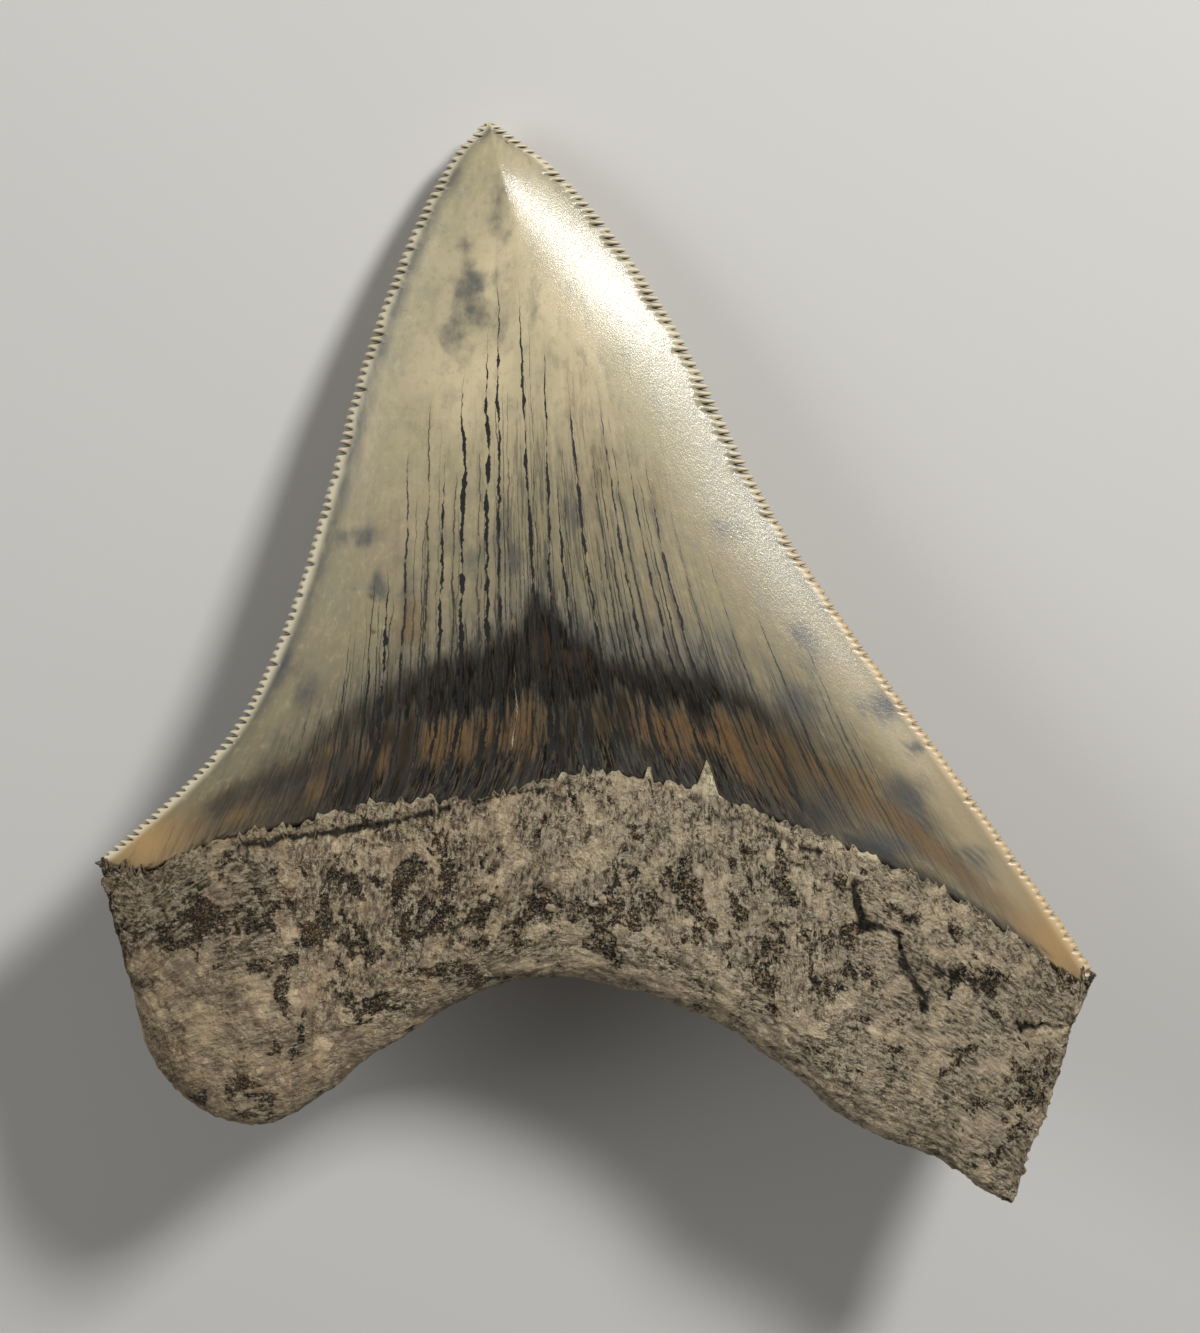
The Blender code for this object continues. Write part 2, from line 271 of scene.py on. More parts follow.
def crown_grid():
    bm = grid(CROWN_COLUMNS, CROWN_ROWS)
    outer = BAND_COLUMNS / CROWN_COLUMNS + NEARLY_NOTHING
    for side, low, high in (("left", -1, outer), ("right", 1 - outer, 2)):
        upright = []
        for edge in bm.edges:
            start, end = (vert.co.x for vert in edge.verts)
            if abs(start - end) < NEARLY_NOTHING and low < start < high:
                upright.append(edge)
        cuts = SERRATIONS[side] * ROWS_ON_SERRATION // CROWN_ROWS - 1
        bmesh.ops.subdivide_edges(bm, edges=upright, cuts=cuts, use_grid_fill=True)
    column, down = places_of(bm)
    return bm, column_place(column, down), down


for side, count in SERRATIONS.items():
    print(side, "edge:", count, "serrations on", count * ROWS_ON_SERRATION, "rows")

# %% [markdown]
# ## Where the crown's markings are
# Enamel keeps the grain it grew with: hairlines run from the root towards the tip and fan out near the
# base, and the stains of millions of years follow the line of the root. A picture could hold all that, but
# a procedural finish needs to know, at each point, how far along the grain it is, how high above the root,
# and how far from the cutting edge. These are stored on the mesh as attributes, which a shader can read.
# The stains themselves are a few soft spots and strokes at listed places, and the shader breaks them up.

# %% Place the soft spots and strokes
BLUE_SPOTS = [
    (-2.3, -12.4, 1.2, 1.0, 0.7), (-2.0, -16.9, 1.6, 2.4, 0.9), (-1.2, -19.6, 2.6, 1.8, 0.8),
    (-3.4, -21.2, 1.6, 1.5, 0.8), (2.0, -19.0, 4.5, 7.0, 0.4), (1.4, -9.0, 1.3, 4.6, 0.6),
    (-13.0, -41.6, 2.6, 1.0, 0.8),
    (24.2, -41.0, 2.6, 1.6, 0.6), (-20.1, -54.3, 2.2, 1.8, 0.7), (-18.4, -57.3, 2.0, 2.2, 0.7),
    (-21.0, -61.9, 1.5, 1.2, 0.6), (31.0, -51.3, 2.4, 1.8, 0.7), (32.3, -54.0, 2.2, 1.6, 0.6),
    (31.3, -58.0, 2.6, 2.0, 0.8), (39.7, -58.4, 2.4, 1.6, 0.8), (42.8, -62.8, 1.0, 0.8, 0.9),
    (42.0, -67.5, 2.8, 2.0, 0.9), (43.4, -70.6, 1.5, 1.5, 0.9), (48.0, -73.6, 2.4, 1.1, 0.9),
    (49.6, -75.7, 1.8, 1.0, 0.7), (32.6, -68.6, 3.4, 3.0, 0.9), (40.2, -72.5, 3.4, 1.6, 0.8),
    (37.0, -71.2, 2.0, 1.8, 0.6), (-8.0, -47.0, 1.5, 4.0, 0.5), (12.0, -52.0, 10.0, 3.2, 0.55),
    (22.0, -54.0, 6.0, 3.0, 0.6), (-9.5, -60.0, 2.5, 2.5, 0.6), (-10.9, -46.4, 0.7, 1.5, 1.0),
    (-2.0, -43.0, 3.0, 2.4, 0.55), (2.6, -44.0, 1.6, 3.2, 0.7), (9.0, -38.0, 2.4, 3.0, 0.45),
]
BROWN_SPOTS = [
    (8.7, -26.9, 2.2, 4.4, 0.62), (11.2, -34.9, 3.0, 5.0, 0.55), (16.2, -36.9, 2.6, 4.0, 0.6),
    (-25.0, -68.0, 4.5, 2.5, 0.7), (-29.0, -71.0, 4.0, 1.8, 0.6), (5.3, -52.6, 0.8, 2.2, 1.0),
    (8.6, -53.6, 1.4, 1.1, 1.0), (-8.0, -31.0, 2.0, 3.0, 0.2), (-19.5, -64.5, 2.2, 1.2, 0.7),
    (36.5, -66.0, 2.6, 1.8, 0.95), (21.0, -59.5, 3.0, 2.0, 0.4), (-7.5, -50.8, 2.4, 3.4, 0.8),
]
DARK_STROKES = [
    ([(-27.0, -68.6), (-21.5, -66.4), (-16.7, -65.0), (-13.5, -64.0)], 2.4, 0.75),
    ([(5.2, -47.6), (5.6, -53.0)], 0.9, 1.0),
    ([(36.0, -72.0), (44.0, -76.2), (50.0, -79.9), (55.5, -83.9)], 1.3, 0.95),
]
BROWN_STROKES = [
    ([(27.0, -61.0), (33.1, -64.6), (37.0, -67.3), (40.4, -69.6), (43.8, -72.2), (47.5, -75.1)], 1.5, 1.0),
    ([(47.5, -75.1), (51.4, -78.3), (55.3, -81.7), (59.0, -85.0)], 2.2, 0.75),
]
PALE_SPOTS = [(-25.2, -69.3, 1.2, 0.9, 1.0), (-34.0, -72.4, 4.6, 2.6, 0.85), (57.5, -82.0, 3.6, 3.6, 0.9)]
PITS = [(-13.0, -46.9), (-12.0, -47.6), (-10.4, -48.1), (-9.7, -49.9), (-11.2, -50.9), (-12.3, -48.8)]
PIT_WIDTH, PIT_HEIGHT = 0.35, 0.3


# %% Find how strongly spots and strokes cover each point
def cover_of_spots(plan, spots):
    """Each spot is its place, its half width and half height, and its strength."""
    cover = np.zeros(len(plan))
    for x, y, wide, high, strength in spots:
        reach = ((plan[:, 0] - x) / wide) ** 2 + ((plan[:, 1] - y) / high) ** 2
        cover = np.maximum(cover, strength * np.exp(-reach / 1.6))
    return cover


def distance_to_path(plan, path):
    nearest = np.full(len(plan), 1e9)
    for a, b in zip(np.array(path, float), np.array(path[1:], float)):
        along = np.clip((plan - a) @ (b - a) / ((b - a) @ (b - a)), 0, 1)
        nearest = np.minimum(nearest, np.linalg.norm(plan - a - along[:, None] * (b - a), axis=1))
    return nearest


def cover_of_strokes(plan, strokes):
    """Each stroke is its path, its half width and its strength."""
    cover = np.zeros(len(plan))
    for path, width, strength in strokes:
        cover = np.maximum(cover, strength * np.exp(-((distance_to_path(plan, path) / width) ** 2)))
    return cover


# %% Place the enamel's grain, its hairlines and the dark band that lies above the root
GRAIN_LEAN = [
    (-40, 0.5), (-22, 0.46), (-16, 0.26), (-11, 0.06), (-6, 0.03), (0, 0.0), (3, -0.03), (10, -0.2),
    (20, -0.42), (30, -0.62), (45, -0.85), (61, -1.0),
]
GRAIN_SWEEP = [(-40, 0.0), (-14, 1.0), (-8, 2.5), (2, 3.0), (8, 0.5), (12, 0.0), (30, -0.6), (45, 0.0)]
SWEEP_HEIGHT = 3.5
CENTRE, CENTRE_SPREAD = 10.0, 15.0
CENTRE_TOP, CENTRE_FULL = 46.0, 26.0
HAIRLINE_TOPS = [
    (-40, 2.0), (-32, 4.5), (-23, 10.0), (-14.5, 25.0), (-5, 42.0), (4, 50.0), (15, 46.0), (24, 36.0),
    (34, 28.0), (44, 20.0), (49.5, 11.0), (55, 4.0), (66, 2.0),
]
LINGUAL_HAIRLINES = 0.45
HAIRLINE_STRENGTH = [
    (-38, 0.0), (-31, 0.35), (-22, 0.6), (-14, 1.0), (30, 1.0), (40, 0.7), (48, 0.45), (56, 0.0),
]
BAND_TOP = [
    (-36, -71.9), (-30, -69.0), (-24, -65.8), (-19, -62.8), (-14.5, -59.2), (-10, -56.5), (-6, -54.4),
    (0, -52.2), (3.2, -51.4), (4.2, -48.0), (6, -47.8), (7.2, -51.0), (10, -52.0), (12, -54.0), (17, -54.6),
    (23, -55.6), (26, -57.6), (29, -59.2), (33, -61.2), (38, -63.5),
]
BAND_BOTTOM = [
    (-36, -74.6), (-30, -71.6), (-24, -68.6), (-19, -65.6), (-14.5, -62.5), (-8, -60.0), (-2, -58.7),
    (5, -57.8), (12, -57.8), (20, -58.8), (26, -60.2), (31, -61.8), (38, -65.0),
]
LINGUAL_BAND_TOP, LINGUAL_BAND_BOTTOM = 6.5, 3.5
BAND_STRENGTH = [
    (-34, 0.0), (-28, 0.25), (-20, 0.45), (-13, 0.75), (-8, 0.95), (-3, 1.0), (24, 1.0), (29, 0.75),
    (33, 0.4), (38, 0.0),
]


# %% Gather what the enamel's finish needs to know
def read_curve(points, x):
    table = np.array(points, float)
    return np.interp(x, table[:, 0], table[:, 1])


def band_marks(plan, above, lingual):
    """How far above the band's top and its bottom a point is, and how strong the band is there."""
    x = plan[:, 0]
    if lingual:
        over, under = above - LINGUAL_BAND_TOP, above - LINGUAL_BAND_BOTTOM
    else:
        over, under = plan[:, 1] - read_curve(BAND_TOP, x), plan[:, 1] - read_curve(BAND_BOTTOM, x)
    return np.column_stack([over, under, read_curve(BAND_STRENGTH, x)])


def crown_marks(across, down, points, lingual):
    """What the enamel's finish needs to know at each point, as named attributes of three numbers."""
    plan = points[:, :2]
    x = plan[:, 0]
    above = above_enamel_line(plan, lingual)
    grain = x - read_curve(GRAIN_LEAN, x) * above + read_curve(GRAIN_SWEEP, x) * np.exp(-above / SWEEP_HEIGHT)
    tops = read_curve(HAIRLINE_TOPS, grain) * (LINGUAL_HAIRLINES if lingual else 1)
    _, _, width, inward = crown_frame(across, down)
    notch = notches(across, down, inward, width)
    centre = np.exp(-(((grain - CENTRE) / CENTRE_SPREAD) ** 2)) * smooth_step(CENTRE_TOP, CENTRE_FULL, above)

    shown = 0 if lingual else 1
    brown = np.maximum(cover_of_spots(plan, BROWN_SPOTS), cover_of_strokes(plan, BROWN_STROKES))
    stains = [cover_of_spots(plan, BLUE_SPOTS), brown, cover_of_strokes(plan, DARK_STROKES)]
    pits = [(*pit, PIT_WIDTH, PIT_HEIGHT, 1.0) for pit in PITS]
    spots = [cover_of_spots(plan, PALE_SPOTS) * shown, cover_of_spots(plan, pits) * shown, centre]
    back = np.full(len(x), float(lingual))
    return {
        "grain": np.column_stack([grain, above, above / tops]),
        "edge": np.column_stack([inward, notch, np.where(across < 0.5, 0, 1)]),
        "band": band_marks(plan, above, lingual),
        "stain": np.column_stack(stains) * shown,
        "spots": np.column_stack(spots),
        "cracked": np.column_stack([read_curve(HAIRLINE_STRENGTH, x), back, 0 * x]),
    }


# %% Store marks and places on a grid, and add it to a piece
def store(bm, marks):
    for name, values in marks.items():
        layer = bm.verts.layers.float_vector.new(name)
        for vert, value in zip(bm.verts, values):
            vert[layer] = value


def put_at(bm, points):
    for vert, point in zip(bm.verts, points):
        vert.co = point


def turn_faces(bm, lingual):
    """The labial face looks up, out of the tooth, and the lingual one down."""
    bm.normal_update()
    up = sum(face.normal.z * face.calc_area() for face in bm.faces) > 0
    if up == lingual:
        bmesh.ops.reverse_faces(bm, faces=bm.faces)


def add_face(whole, bm):
    mesh = bpy.data.meshes.new("face")
    bm.to_mesh(mesh)
    bm.free()
    whole.from_mesh(mesh)
    bpy.data.meshes.remove(mesh)


def close(bm):
    bmesh.ops.holes_fill(bm, edges=[edge for edge in bm.edges if edge.is_boundary])


# %% Carry a piece to its place in the model
MERGE_DISTANCE = 0.0005
FLOOR_MARGIN = 1e-7


def finish_piece(bm, name):
    """Join the two faces, carry them to their place in the model and cut off what is under the floor."""
    bmesh.ops.remove_doubles(bm, verts=bm.verts, dist=MERGE_DISTANCE)
    close(bm)
    bmesh.ops.transform(bm, matrix=to_model, verts=bm.verts)
    everything = [*bm.verts, *bm.edges, *bm.faces]
    bmesh.ops.bisect_plane(bm, geom=everything, dist=FLOOR_MARGIN, plane_no=(0, 0, -1), clear_outer=True)
    close(bm)
    bmesh.ops.triangulate(bm, faces=[face for face in bm.faces if len(face.verts) > 4])
    mesh = bpy.data.meshes.new(name)
    bm.to_mesh(mesh)
    bm.free()
    mesh.shade_smooth()
    piece = bpy.data.objects.new(name, mesh)
    bpy.context.collection.objects.link(piece)
    triangles = sum(len(polygon.vertices) - 2 for polygon in mesh.polygons)
    print(name, "has", triangles, "triangles")
    return piece


# %% Put both faces together as one closed crown
crown_mesh = bmesh.new()
for lingual in (False, True):
    face, across, down = crown_grid()
    points = crown_points(across, down, lingual)
    store(face, crown_marks(across, down, points, lingual))
    put_at(face, points)
    turn_faces(face, lingual)
    add_face(crown_mesh, face)
crown = finish_piece(crown_mesh, "enamel_crown")

# %% [markdown]
# ## The root
# Fossil bone is lumpy, pitted and flaked, and where its smooth skin has come off, a darker, spongy inside
# shows. It could be left to a bump map, but then its outline and its rim would stay smooth. Instead a
# dense grid is placed by the same kind of formula as the crown and then sculpted along its normals with
# noise, with cracks and lost skin at given places. The grid's first ring climbs on to the enamel, so
# the root's rim is a real, ragged step with a few thin flakes that reach up the crown.

# %% Say how far the rim climbs on to the enamel, and where it is pale
RIM_FLAKES = [
    (21.9, 4.4, 1.4), (16.1, 3.0, 0.45), (-11.7, 1.5, 0.5), (-7.0, 0.9, 0.8), (9.6, 1.5, 0.5),
    (13.0, 1.2, 0.6), (4.2, 0.9, 0.5), (26.0, 0.9, 0.8), (31.0, 0.8, 0.6), (-16.0, 0.8, 0.8),
    (38.0, 0.9, 1.0), (7.4, 1.1, 0.4),
]
TALLEST_PALE_FLAKE = 1.4
SHORTEST_REACH = 0.05


def rim_reach(x):
    """How far the root's rim climbs on to the enamel, in millimetres."""
    reach = 0.45 + 0.5 * wobble(x * 0.8, 7.0) + 0.6 * wobble(x * 2.1, 11.0) + 0.5 * wobble(x * 5.3, 5.0)
    for middle, height, half_width in RIM_FLAKES:
        reach = np.maximum(reach, height * (1 - np.abs(x - middle) / half_width))
    return np.maximum(reach, SHORTEST_REACH)


def pale_rim(x):
    """1 where a flake of the rim is thin and pale, 0 where the rim looks like the rest of the root."""
    pale = np.zeros_like(x)
    for middle, height, half_width in RIM_FLAKES:
        strength = min(1, height / TALLEST_PALE_FLAKE)
        pale = np.maximum(pale, smooth_step(1.6, 1.0, np.abs(x - middle) / half_width) * strength)
    return pale


# %% Say where each point of the smooth root is
ROOT_PROUD, ROOT_SUNK = 0.45, 0.3
EQUATOR_DROP, EQUATOR_POWER = 6.2, 10
END_POWER = 24
LABIAL_SWELL = 0.9
LOBE_HUMP, MIDDLE_HUMP = 3.0, 7.4
HUMP_PLACE, HUMP_SPREAD = 0.5, 0.3
MIDDLE, MIDDLE_SPREAD = 0.47, 0.2
LABIAL_ROUND, LINGUAL_ROUND, BROKEN_ROUND = 3.4, 2.5, 7.0
BREAK_START, BREAK_END = 0.72, 0.84
DENTS = [
    (57.0, -93.0, 4.5, 2.4), (52.5, -104.5, 4.0, 1.6), (40.0, -84.0, 3.0, 0.5), (-26.0, -79.0, 3.2, 0.7),
    (-17.0, -84.0, 3.5, 0.5), (4.0, -78.0, 3.0, 0.5), (17.0, -78.5, 3.5, 0.6), (31.0, -85.0, 4.0, 0.7),
    (44.0, -96.0, 4.5, 0.7), (-29.0, -90.0, 4.0, 0.4),
]
LINGUAL_REACH_OF_RIM = 0.4
CLIMB = 38.0
RIM_STRETCH = 0.25
ROOT_ENDS = np.array([(-38.7, -74.8, -3.5), (60.0, -85.9, -3.5)])
ROOT_TUCK = 0.016


def root_points(column, out, on_rim, lingual):
    """Points of a face of the root. At both ends it shrinks to a point inside the corner of the crown."""
    points = whole_root_points(column, out, on_rim, lingual)
    ends = np.where((column < 0.5)[:, None], *ROOT_ENDS)
    tuck = smooth_step(0, ROOT_TUCK, np.minimum(column, 1 - column))[:, None]
    return ends + (points - ends) * tuck


def whole_root_points(column, out, on_rim, lingual):
    """Points at a share out of the way from the enamel's border to the root's outline, raised to its form."""
    whole = np.ones_like(column)
    place_across = column_place(column, whole)
    line = smooth_path(ENAMEL_LINE, place_across)
    ends = roof(column, END_POWER)
    reach = ends * (LINGUAL_REACH_OF_RIM if lingual else rim_reach(line[:, 0]))
    border = crown_points(place_across, whole, lingual)
    raised = whole - reach / CLIMB
    lifted = crown_points(place_across, raised, lingual)
    sideways = (border[:, 0] - lifted[:, 0]) / crown_frame(place_across, raised)[2]
    lifted = crown_points(place_across + sideways, raised, lingual)
    lift = (lifted - border) * smooth_step(RIM_STRETCH, 0, out)[:, None]
    plan = border[:, :2] + (smooth_path(ROOT_OUTLINE, column) - border[:, :2]) * out[:, None] + lift[:, :2]
    top = border[:, 2] + lift[:, 2]

    equator = -EDGE_DROP_AT_CORNERS - (EQUATOR_DROP - EDGE_DROP_AT_CORNERS) * roof(column, EQUATOR_POWER)
    broken = smooth_step(BREAK_START, BREAK_END, column)
    whole_round = LINGUAL_ROUND if lingual else LABIAL_ROUND
    power = whole_round + (BROKEN_ROUND - whole_round) * broken
    rounding = np.clip(1 - out**power, 0, 1) ** (1 / power)
    swell = np.sin(math.pi * np.clip(out, 0, 1)) * ends
    proud = np.where(on_rim, ROOT_PROUD, -ROOT_SUNK) * ends
    if lingual:
        middle = np.exp(-(((column - MIDDLE) / MIDDLE_SPREAD) ** 2))
        hump = LOBE_HUMP + (MIDDLE_HUMP - LOBE_HUMP) * middle
        hump = hump * np.exp(-(((out - HUMP_PLACE) / HUMP_SPREAD) ** 2)) * ends
        body = equator - top + proud + hump
        return np.column_stack([plan, equator - body * rounding])
    body = top - equator + proud + LABIAL_SWELL * swell
    height = equator + body * rounding
    for x, y, radius, depth in DENTS:
        away = np.hypot(plan[:, 0] - x, plan[:, 1] - y) / radius
        height -= depth * np.exp(-(away**2)) * rounding * on_rim
    return np.column_stack([plan, height])


# %% Lay out the root's grid
ROOT_COLUMNS, ROOT_RINGS = 400, 96
RING_CROWDING = 1.25
RIM_WIDTH = 0.25


def root_grid(lingual):
    """The first ring of the grid is the sunk foot of the rim, and the second its top, close beside it."""
    bm = grid(ROOT_COLUMNS, ROOT_RINGS + 1)
    column, row = places_of(bm)
    ring = np.round(row * (ROOT_RINGS + 1))
    out = 1 - (1 - np.maximum(ring - 1, 0) / ROOT_RINGS) ** RING_CROWDING
    border = enamel_line(column_place(column, np.ones_like(column)), lingual)
    far = np.linalg.norm(smooth_path(ROOT_OUTLINE, column) - border, axis=1)
    out = np.where(ring == 1, RIM_WIDTH / np.maximum(far, 4 * RIM_WIDTH), out)
    return bm, column, out, ring


# %% Set the places of cracks, lost skin and stains on the root
LONG_CREVICE = [
    (-24.8, -72.5), (-18.8, -71.5), (-14.3, -70.9), (-11.7, -70.2), (-8.8, -70.0), (-6.7, -69.4),
    (-4.0, -68.7),
]
CREVICES = [
    (LONG_CREVICE, 0.4, 0.6),
    ([(36.7, -75.9), (37.2, -79.9), (39.2, -80.6), (41.0, -81.4), (41.2, -83.9), (43.7, -88.4)], 0.45, 0.6),
    ([(43.2, -84.4), (47.2, -85.4), (51.2, -86.9)], 0.7, 0.4),
    ([(52.8, -90.4), (55.7, -90.9), (58.0, -91.3)], 0.4, 0.5),
    ([(-1.0, -67.9), (3.0, -67.3), (7.0, -66.6)], 0.4, 0.4),
    ([(20.0, -67.9), (24.5, -69.8), (29.0, -71.4), (33.0, -73.3)], 0.35, 0.4),
    ([(32.0, -74.0), (35.5, -76.5), (38.5, -77.0)], 0.3, 0.35),
]
LOST_SKIN = [
    (-25.8, -79.1, 3.0, 2.2, 1.0), (-15.3, -81.4, 3.8, 3.4, 0.8), (-3.6, -85.5, 4.0, 1.2, 1.0),
    (-22.0, -83.8, 4.5, 0.9, 0.9), (-20.1, -88.0, 0.9, 3.2, 0.8), (-8.3, -80.8, 0.8, 1.8, 0.7),
    (-11.8, -88.4, 2.8, 1.6, 0.7), (-19.2, -89.2, 1.4, 2.0, 0.6), (-19.3, -93.4, 2.4, 1.2, 0.7),
    (-24.0, -97.2, 5.0, 2.0, 0.8), (0.2, -78.4, 2.6, 2.6, 0.8), (5.1, -79.5, 2.8, 3.2, 0.9),
    (10.2, -79.6, 1.6, 1.8, 0.8), (13.2, -77.7, 2.6, 2.4, 0.9), (12.4, -82.6, 1.4, 1.8, 0.8),
    (19.2, -78.6, 3.4, 2.8, 1.0), (29.0, -84.4, 4.6, 4.8, 0.8), (47.2, -85.6, 4.0, 1.3, 0.8),
    (36.0, -80.0, 1.8, 4.2, 0.6), (31.0, -88.5, 2.4, 2.6, 0.7), (-32.0, -81.0, 2.4, 1.8, 0.7),
    (-6.0, -76.0, 3.4, 3.8, 0.6), (50.0, -95.0, 3.2, 5.0, 0.45), (24.0, -90.0, 4.2, 1.6, 0.6),
    (-14.0, -76.5, 3.0, 2.4, 0.6), (33.0, -78.0, 3.0, 2.0, 0.5), (47.0, -102.0, 3.0, 1.6, 0.8),
    (-23.0, -98.6, 3.0, 1.6, 0.8),
]
PALE_SKIN = [
    (10.0, -71.0, 7.0, 3.0, 0.8), (-26.0, -90.0, 6.0, 4.5, 0.7), (-34.0, -77.5, 3.0, 1.5, 0.8),
    (43.0, -79.0, 5.0, 2.4, 0.8), (57.5, -94.0, 1.6, 5.0, 0.9), (3.0, -84.0, 8.0, 1.4, 0.6),
    (-14.0, -74.5, 5.0, 2.0, 0.4), (26.0, -76.0, 6.0, 3.0, 0.4), (54.5, -101.0, 1.5, 4.0, 0.8),
    (-22.0, -86.0, 4.0, 1.5, 0.6), (28.0, -72.5, 6.0, 1.4, 0.6), (10.0, -82.5, 2.5, 1.2, 0.6),
    (41.0, -93.0, 3.6, 3.6, 0.8),
]
PALE_STROKES = [
    ([(-31.5, -74.0), (-26.0, -71.4), (-18.0, -70.3), (-12.0, -69.2), (-4.5, -68.1)], 0.55, 1.0),
    ([(41.0, -80.2), (45.5, -81.3), (52.0, -84.8)], 0.4, 0.7),
    ([(22.0, -67.2), (29.0, -70.6), (35.0, -73.4)], 0.4, 0.5),
]


# %% Make noise with finer and finer detail
def layered(points, size, octaves, seed, stretch=(1, 1, 1)):
    """Fractal noise at each point, about -1 to 1, for features of this size in millimetres."""
    shift = Vector((seed * 7.3, seed * 3.1, seed * 5.7))
    scaled = np.array(points) * np.array(stretch) / size
    return np.array([noise.fractal(Vector(p) + shift, 0.7, 2.1, octaves) for p in scaled])


# %% Find how the bone's fibres run
ROOT_LENGTH = 120.0


def fibres_of(points, column, out, lingual):
    """Along the lobes the fibres lie, and in the middle they stand upright."""
    border = enamel_line(column_place(column, np.ones_like(column)), False)
    from_border = out * np.linalg.norm(smooth_path(ROOT_OUTLINE, column) - border, axis=1)
    side = 3.0 * np.full(len(out), float(lingual))
    flow = np.column_stack([ROOT_LENGTH * column, from_border, side])
    x = points[:, 0]
    upright = smooth_step(-24, -15, x) * smooth_step(42, 30, x) * smooth_step(0.9, 0.6, out)
    lying = layered(flow, 1.5, 5, 1.0, (0.5, 1.5, 1.0))
    standing = layered(flow, 1.5, 5, 4.0, (1.7, 0.6, 1.0))
    return flow, upright, lying + (standing - lying) * upright


# %% Cut the crevices and find the pale places
def crevice_depth(plan, grain, patches):
    """The crevices follow their paths, but the fibres and patches make them ragged and uneven."""
    ragged = plan + 0.55 * np.column_stack([grain, patches])
    cut = np.zeros(len(plan))
    for path, width, depth in CREVICES:
        near = distance_to_path(ragged, path) / (width * (1 + 0.6 * patches))
        cut = np.maximum(cut, depth * np.exp(-(near**2)))
    return cut * smooth_step(-0.5, 0.1, grain + 0.3)


def pale_marks(plan, fine):
    pale = np.maximum(cover_of_spots(plan, PALE_SKIN), cover_of_strokes(plan, PALE_STROKES))
    on_enamel = smooth_step(0.0, 0.5, above_enamel_line(plan, False) + 0.4 * fine)
    return pale, on_enamel * pale_rim(plan[:, 0])


# %% Work out how far each point of the root moves
SMOOTH_RIM = 0.78
EVENLY_LOST = 0.4


def sculpt_root(points, column, out, ring, lingual):
    """How far each point moves along its normal, and what the bone's finish needs to know there."""
    plan = points[:, :2]
    flow, upright, grain = fibres_of(points, column, out, lingual)
    broad = 0.4 * np.array([noise.noise(Vector(p) / 5.0) for p in points])
    broad += 0.22 * np.array([noise.noise(Vector(p) / 2.4) for p in points])
    fine = layered(points, 0.75, 3, 2.0, (1.0, 0.8, 1.0))
    patches = layered(points, 3.2, 6, 3.0)

    foot = smooth_step(-8.0, -20.0, plan[:, 0]) * smooth_step(-80.0, -88.0, plan[:, 1])
    broken = smooth_step(BREAK_START, BREAK_END, column)
    smooth_rim = smooth_step(SMOOTH_RIM, 0.96, out) * (1 - broken)
    worn = np.clip(0.75 - 0.6 * foot - 0.5 * smooth_rim + 0.35 * patches, 0, 1)
    spots = EVENLY_LOST if lingual else cover_of_spots(plan, LOST_SKIN)
    lost = smooth_step(-0.06, 0.1, 0.62 * spots + 0.6 * patches + 0.35 * grain + 0.15 * worn - 0.46)

    crevice = pale = flake = np.zeros(len(out))
    if not lingual:
        crevice = crevice_depth(plan, grain, patches)
        pale, flake = pale_marks(plan, fine)
    move = broad + (0.22 + 0.22 * worn) * grain + 0.22 * fine - 0.25 * lost * (0.8 + 0.6 * fine) - crevice
    move *= 1 - 0.45 * smooth_rim
    keep = np.where(ring <= 1, 0.3, 1.0) * smooth_step(0, 4, ring + 0.5) * np.where(ring == 0, 0, 1)
    move = move * np.where(out >= 0.999, 1, keep) * roof(column, END_POWER)
    # Painted shade in the crevices: how dark they are drawn, stored for the shader.
    hollow = np.clip(crevice * 1.8 - 0.45 * grain - 0.3 * fine, 0, 1)
    marks = {
        "skin": np.column_stack([lost, hollow, pale]),
        "rim": np.column_stack([flake, worn, upright]),
        "flow": np.column_stack([flow[:, 0], flow[:, 1], points[:, 2]]),
        "place": points,
    }
    return move, marks


# %% Sculpt both faces and join them as one closed root
FORAMEN_OUT, FORAMEN_RADIUS, FORAMEN_DEPTH = 0.72, 2.2, 1.6
foramen = Vector(root_points(np.array([MIDDLE]), np.array([FORAMEN_OUT]), np.array([True]), True)[0])

root_mesh = bmesh.new()
for lingual in (False, True):
    face, column, out, ring = root_grid(lingual)
    points = root_points(column, out, ring > 0, lingual)
    move, marks = sculpt_root(points, column, out, ring, lingual)
    if lingual:
        away = np.linalg.norm(points - np.array(foramen), axis=1)
        move -= FORAMEN_DEPTH * np.exp(-((away / FORAMEN_RADIUS) ** 2))
    store(face, marks)
    layer = face.verts.layers.float.new("move")
    for vert, value in zip(face.verts, move):
        vert[layer] = value
    put_at(face, points)
    turn_faces(face, lingual)
    add_face(root_mesh, face)

bmesh.ops.remove_doubles(root_mesh, verts=root_mesh.verts, dist=MERGE_DISTANCE)
root_mesh.normal_update()
moved = root_mesh.verts.layers.float["move"]
shifts = [(vert, vert.normal * vert[moved]) for vert in root_mesh.verts]
for vert, shift in shifts:
    vert.co += shift
root = finish_piece(root_mesh, "fossil_root")

# %% [markdown]
# ## Shader maths in plain Python
# A finish is mostly arithmetic on numbers that change over the surface. Wiring Math nodes by hand is slow
# to write and hard to read, so a small class wraps one output of a node and gives it Python's operators.
# An expression such as 1 - mask then adds the Math node that it needs.

